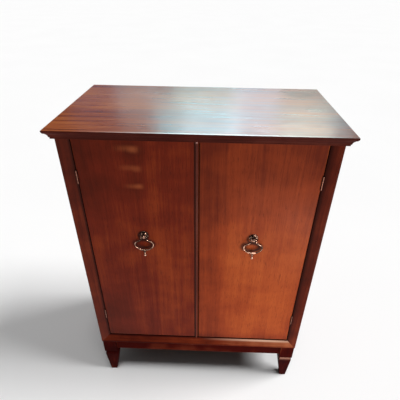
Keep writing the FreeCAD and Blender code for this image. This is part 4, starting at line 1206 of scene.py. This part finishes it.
studio = {
    "floorHalf": 90.0,
    "floorColour": (0.875, 0.875, 0.875),
    "floorDip": 0.985,        # the darker parts of the floor's slow haze
    "skyLow": 0.03,           # brightness of the surroundings near the horizon, and overhead
    "skyHigh": 0.24,
    "skyRise": (0.50, 0.90),  # heights between which it grows
    "skyAxis": (0.0, 0.20, 0.98),
    "skyShown": 0.93,         # the pale wall that the camera sees beyond the floor
    "suns": {                 # strength, spread in degrees, and the way towards each
        "key": (2.95, 28, (0.95, 0.05, 1.14)),
        "fill": (0.87, 14, (0.03, -0.17, 1.0)),
    },
}


def makeFloor():
    half = studio["floorHalf"]
    mesh = bpy.data.meshes.new("floor")
    corners = [(-half, -half, 0), (half, -half, 0), (half, half, 0), (-half, half, 0)]
    mesh.from_pydata(corners, [], [(0, 1, 2, 3)])
    floor = addObject("floor", mesh)
    material, tree, shader = newMaterial("pale_floor")
    pale = studio["floorColour"]
    stops = ((0.3, tuple(studio["floorDip"] * part for part in pale)), (0.7, pale))
    colour = ramp(tree, noise(tree, coordinates(tree), 2.0), stops)
    setInputs(tree, shader, {"Base Color": colour, "Roughness": 0.9, "Specular IOR Level": 0.0})
    mesh.materials.append(material)
    floor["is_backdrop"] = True


def makeSky():
    # Dim near the horizon and brighter overhead, like a room lit by a large ceiling panel
    world = bpy.data.worlds.new("studio")
    bpy.context.scene.world = world
    world.use_nodes = True
    tree = world.node_tree
    tree.nodes.clear()
    direction = coordinates(tree, "Generated")
    height = vectorMaths(tree, "DOT_PRODUCT", direction, studio["skyAxis"], output="Value")
    strength = ranged(tree, height, *studio["skyRise"], studio["skyLow"], studio["skyHigh"])
    shown = addNode(tree, "ShaderNodeLightPath").outputs["Is Camera Ray"]
    strength = addNode(tree, "ShaderNodeMix", {0: shown, 2: strength, 3: studio["skyShown"]}).outputs[0]
    background = addNode(tree, "ShaderNodeBackground", {"Color": (1.0, 1.0, 1.0, 1.0), "Strength": strength})
    addNode(tree, "ShaderNodeOutputWorld", {"Surface": background.outputs[0]})


def makeLight(name, kind, power, back):
    # A light shines away from the direction that its back is turned to
    light = bpy.data.lights.new(name, kind)
    light.energy = power
    lamp = addObject(name, light)
    lamp.rotation_euler = Vector(back).to_track_quat("Z", "Y").to_euler()
    return lamp


def makeSuns():
    for name, (strength, spread, towards) in studio["suns"].items():
        makeLight(name, "SUN", strength, towards).data.angle = math.radians(spread)


panels = [  # place, aim, width, height, power and colour; they light the cabinet and not the floor
    ((-1.38, 3.2, 1.86), (0.0, 0.0, 1.0), 0.60, 0.45, 0.35, (0.15, 0.55, 1.0)),
    ((-0.88, 3.2, 1.90), (0.0, 0.0, 1.0), 0.45, 0.6, 0.78, (0.60, 0.90, 1.0)),
    ((-0.53, 3.2, 2.40), (0.0, 0.0, 1.0), 0.26, 0.8, 2.2, (0.40, 0.90, 1.0)),
    ((-0.08, 3.2, 1.82), (0.0, 0.0, 1.0), 0.70, 0.6, 1.35, (0.50, 1.0, 0.88)),
    ((-0.02, 3.2, 2.44), (0.0, 0.0, 1.0), 0.70, 0.6, 9.0, (0.54, 0.87, 1.0)),
    ((0.52, 3.2, 2.27), (0.1, 0.0, 1.0), 0.55, 0.95, 5.8, (0.74, 0.90, 1.0)),
    ((1.14, 3.2, 2.44), (0.2, 0.0, 1.0), 0.66, 0.7, 7.4, (0.82, 1.0, 0.92)),
    ((1.60, 3.2, 2.35), (0.2, 0.0, 1.0), 0.30, 0.8, 1.2, (0.35, 0.85, 1.0)),
    ((1.20, 3.2, 1.72), (0.2, 0.0, 1.0), 0.8, 0.4, 0.22, (0.75, 0.95, 0.95)),
    ((0.52, -0.95, 0.16), (0.30, -0.2, 0.3), 0.7, 0.34, 5.0, (1.0, 0.92, 0.84)),
    ((1.00, -2.20, 1.05), (0.0, -0.2, 0.6), 0.28, 0.28, 19.0, (1.0, 0.95, 0.90)),
]


def makePanels():
    objectOnly = bpy.data.collections.new("lit by the panels")
    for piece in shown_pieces():
        objectOnly.objects.link(piece)
    for index, (place, aim, width, height, power, colour) in enumerate(panels, start=1):
        panel = makeLight(f"panel_{index}", "AREA", power, Vector(place) - Vector(aim))
        panel.location = place
        panel.data.shape = "RECTANGLE"
        panel.data.size, panel.data.size_y = width, height
        panel.data.color = colour
        panel.visible_camera = False
        panel.light_linking.receiver_collection = objectOnly


makeFloor()
makeSky()
makeSuns()
makePanels()
bpy.context.scene.view_settings.view_transform = "Standard"
print("floor and light made")
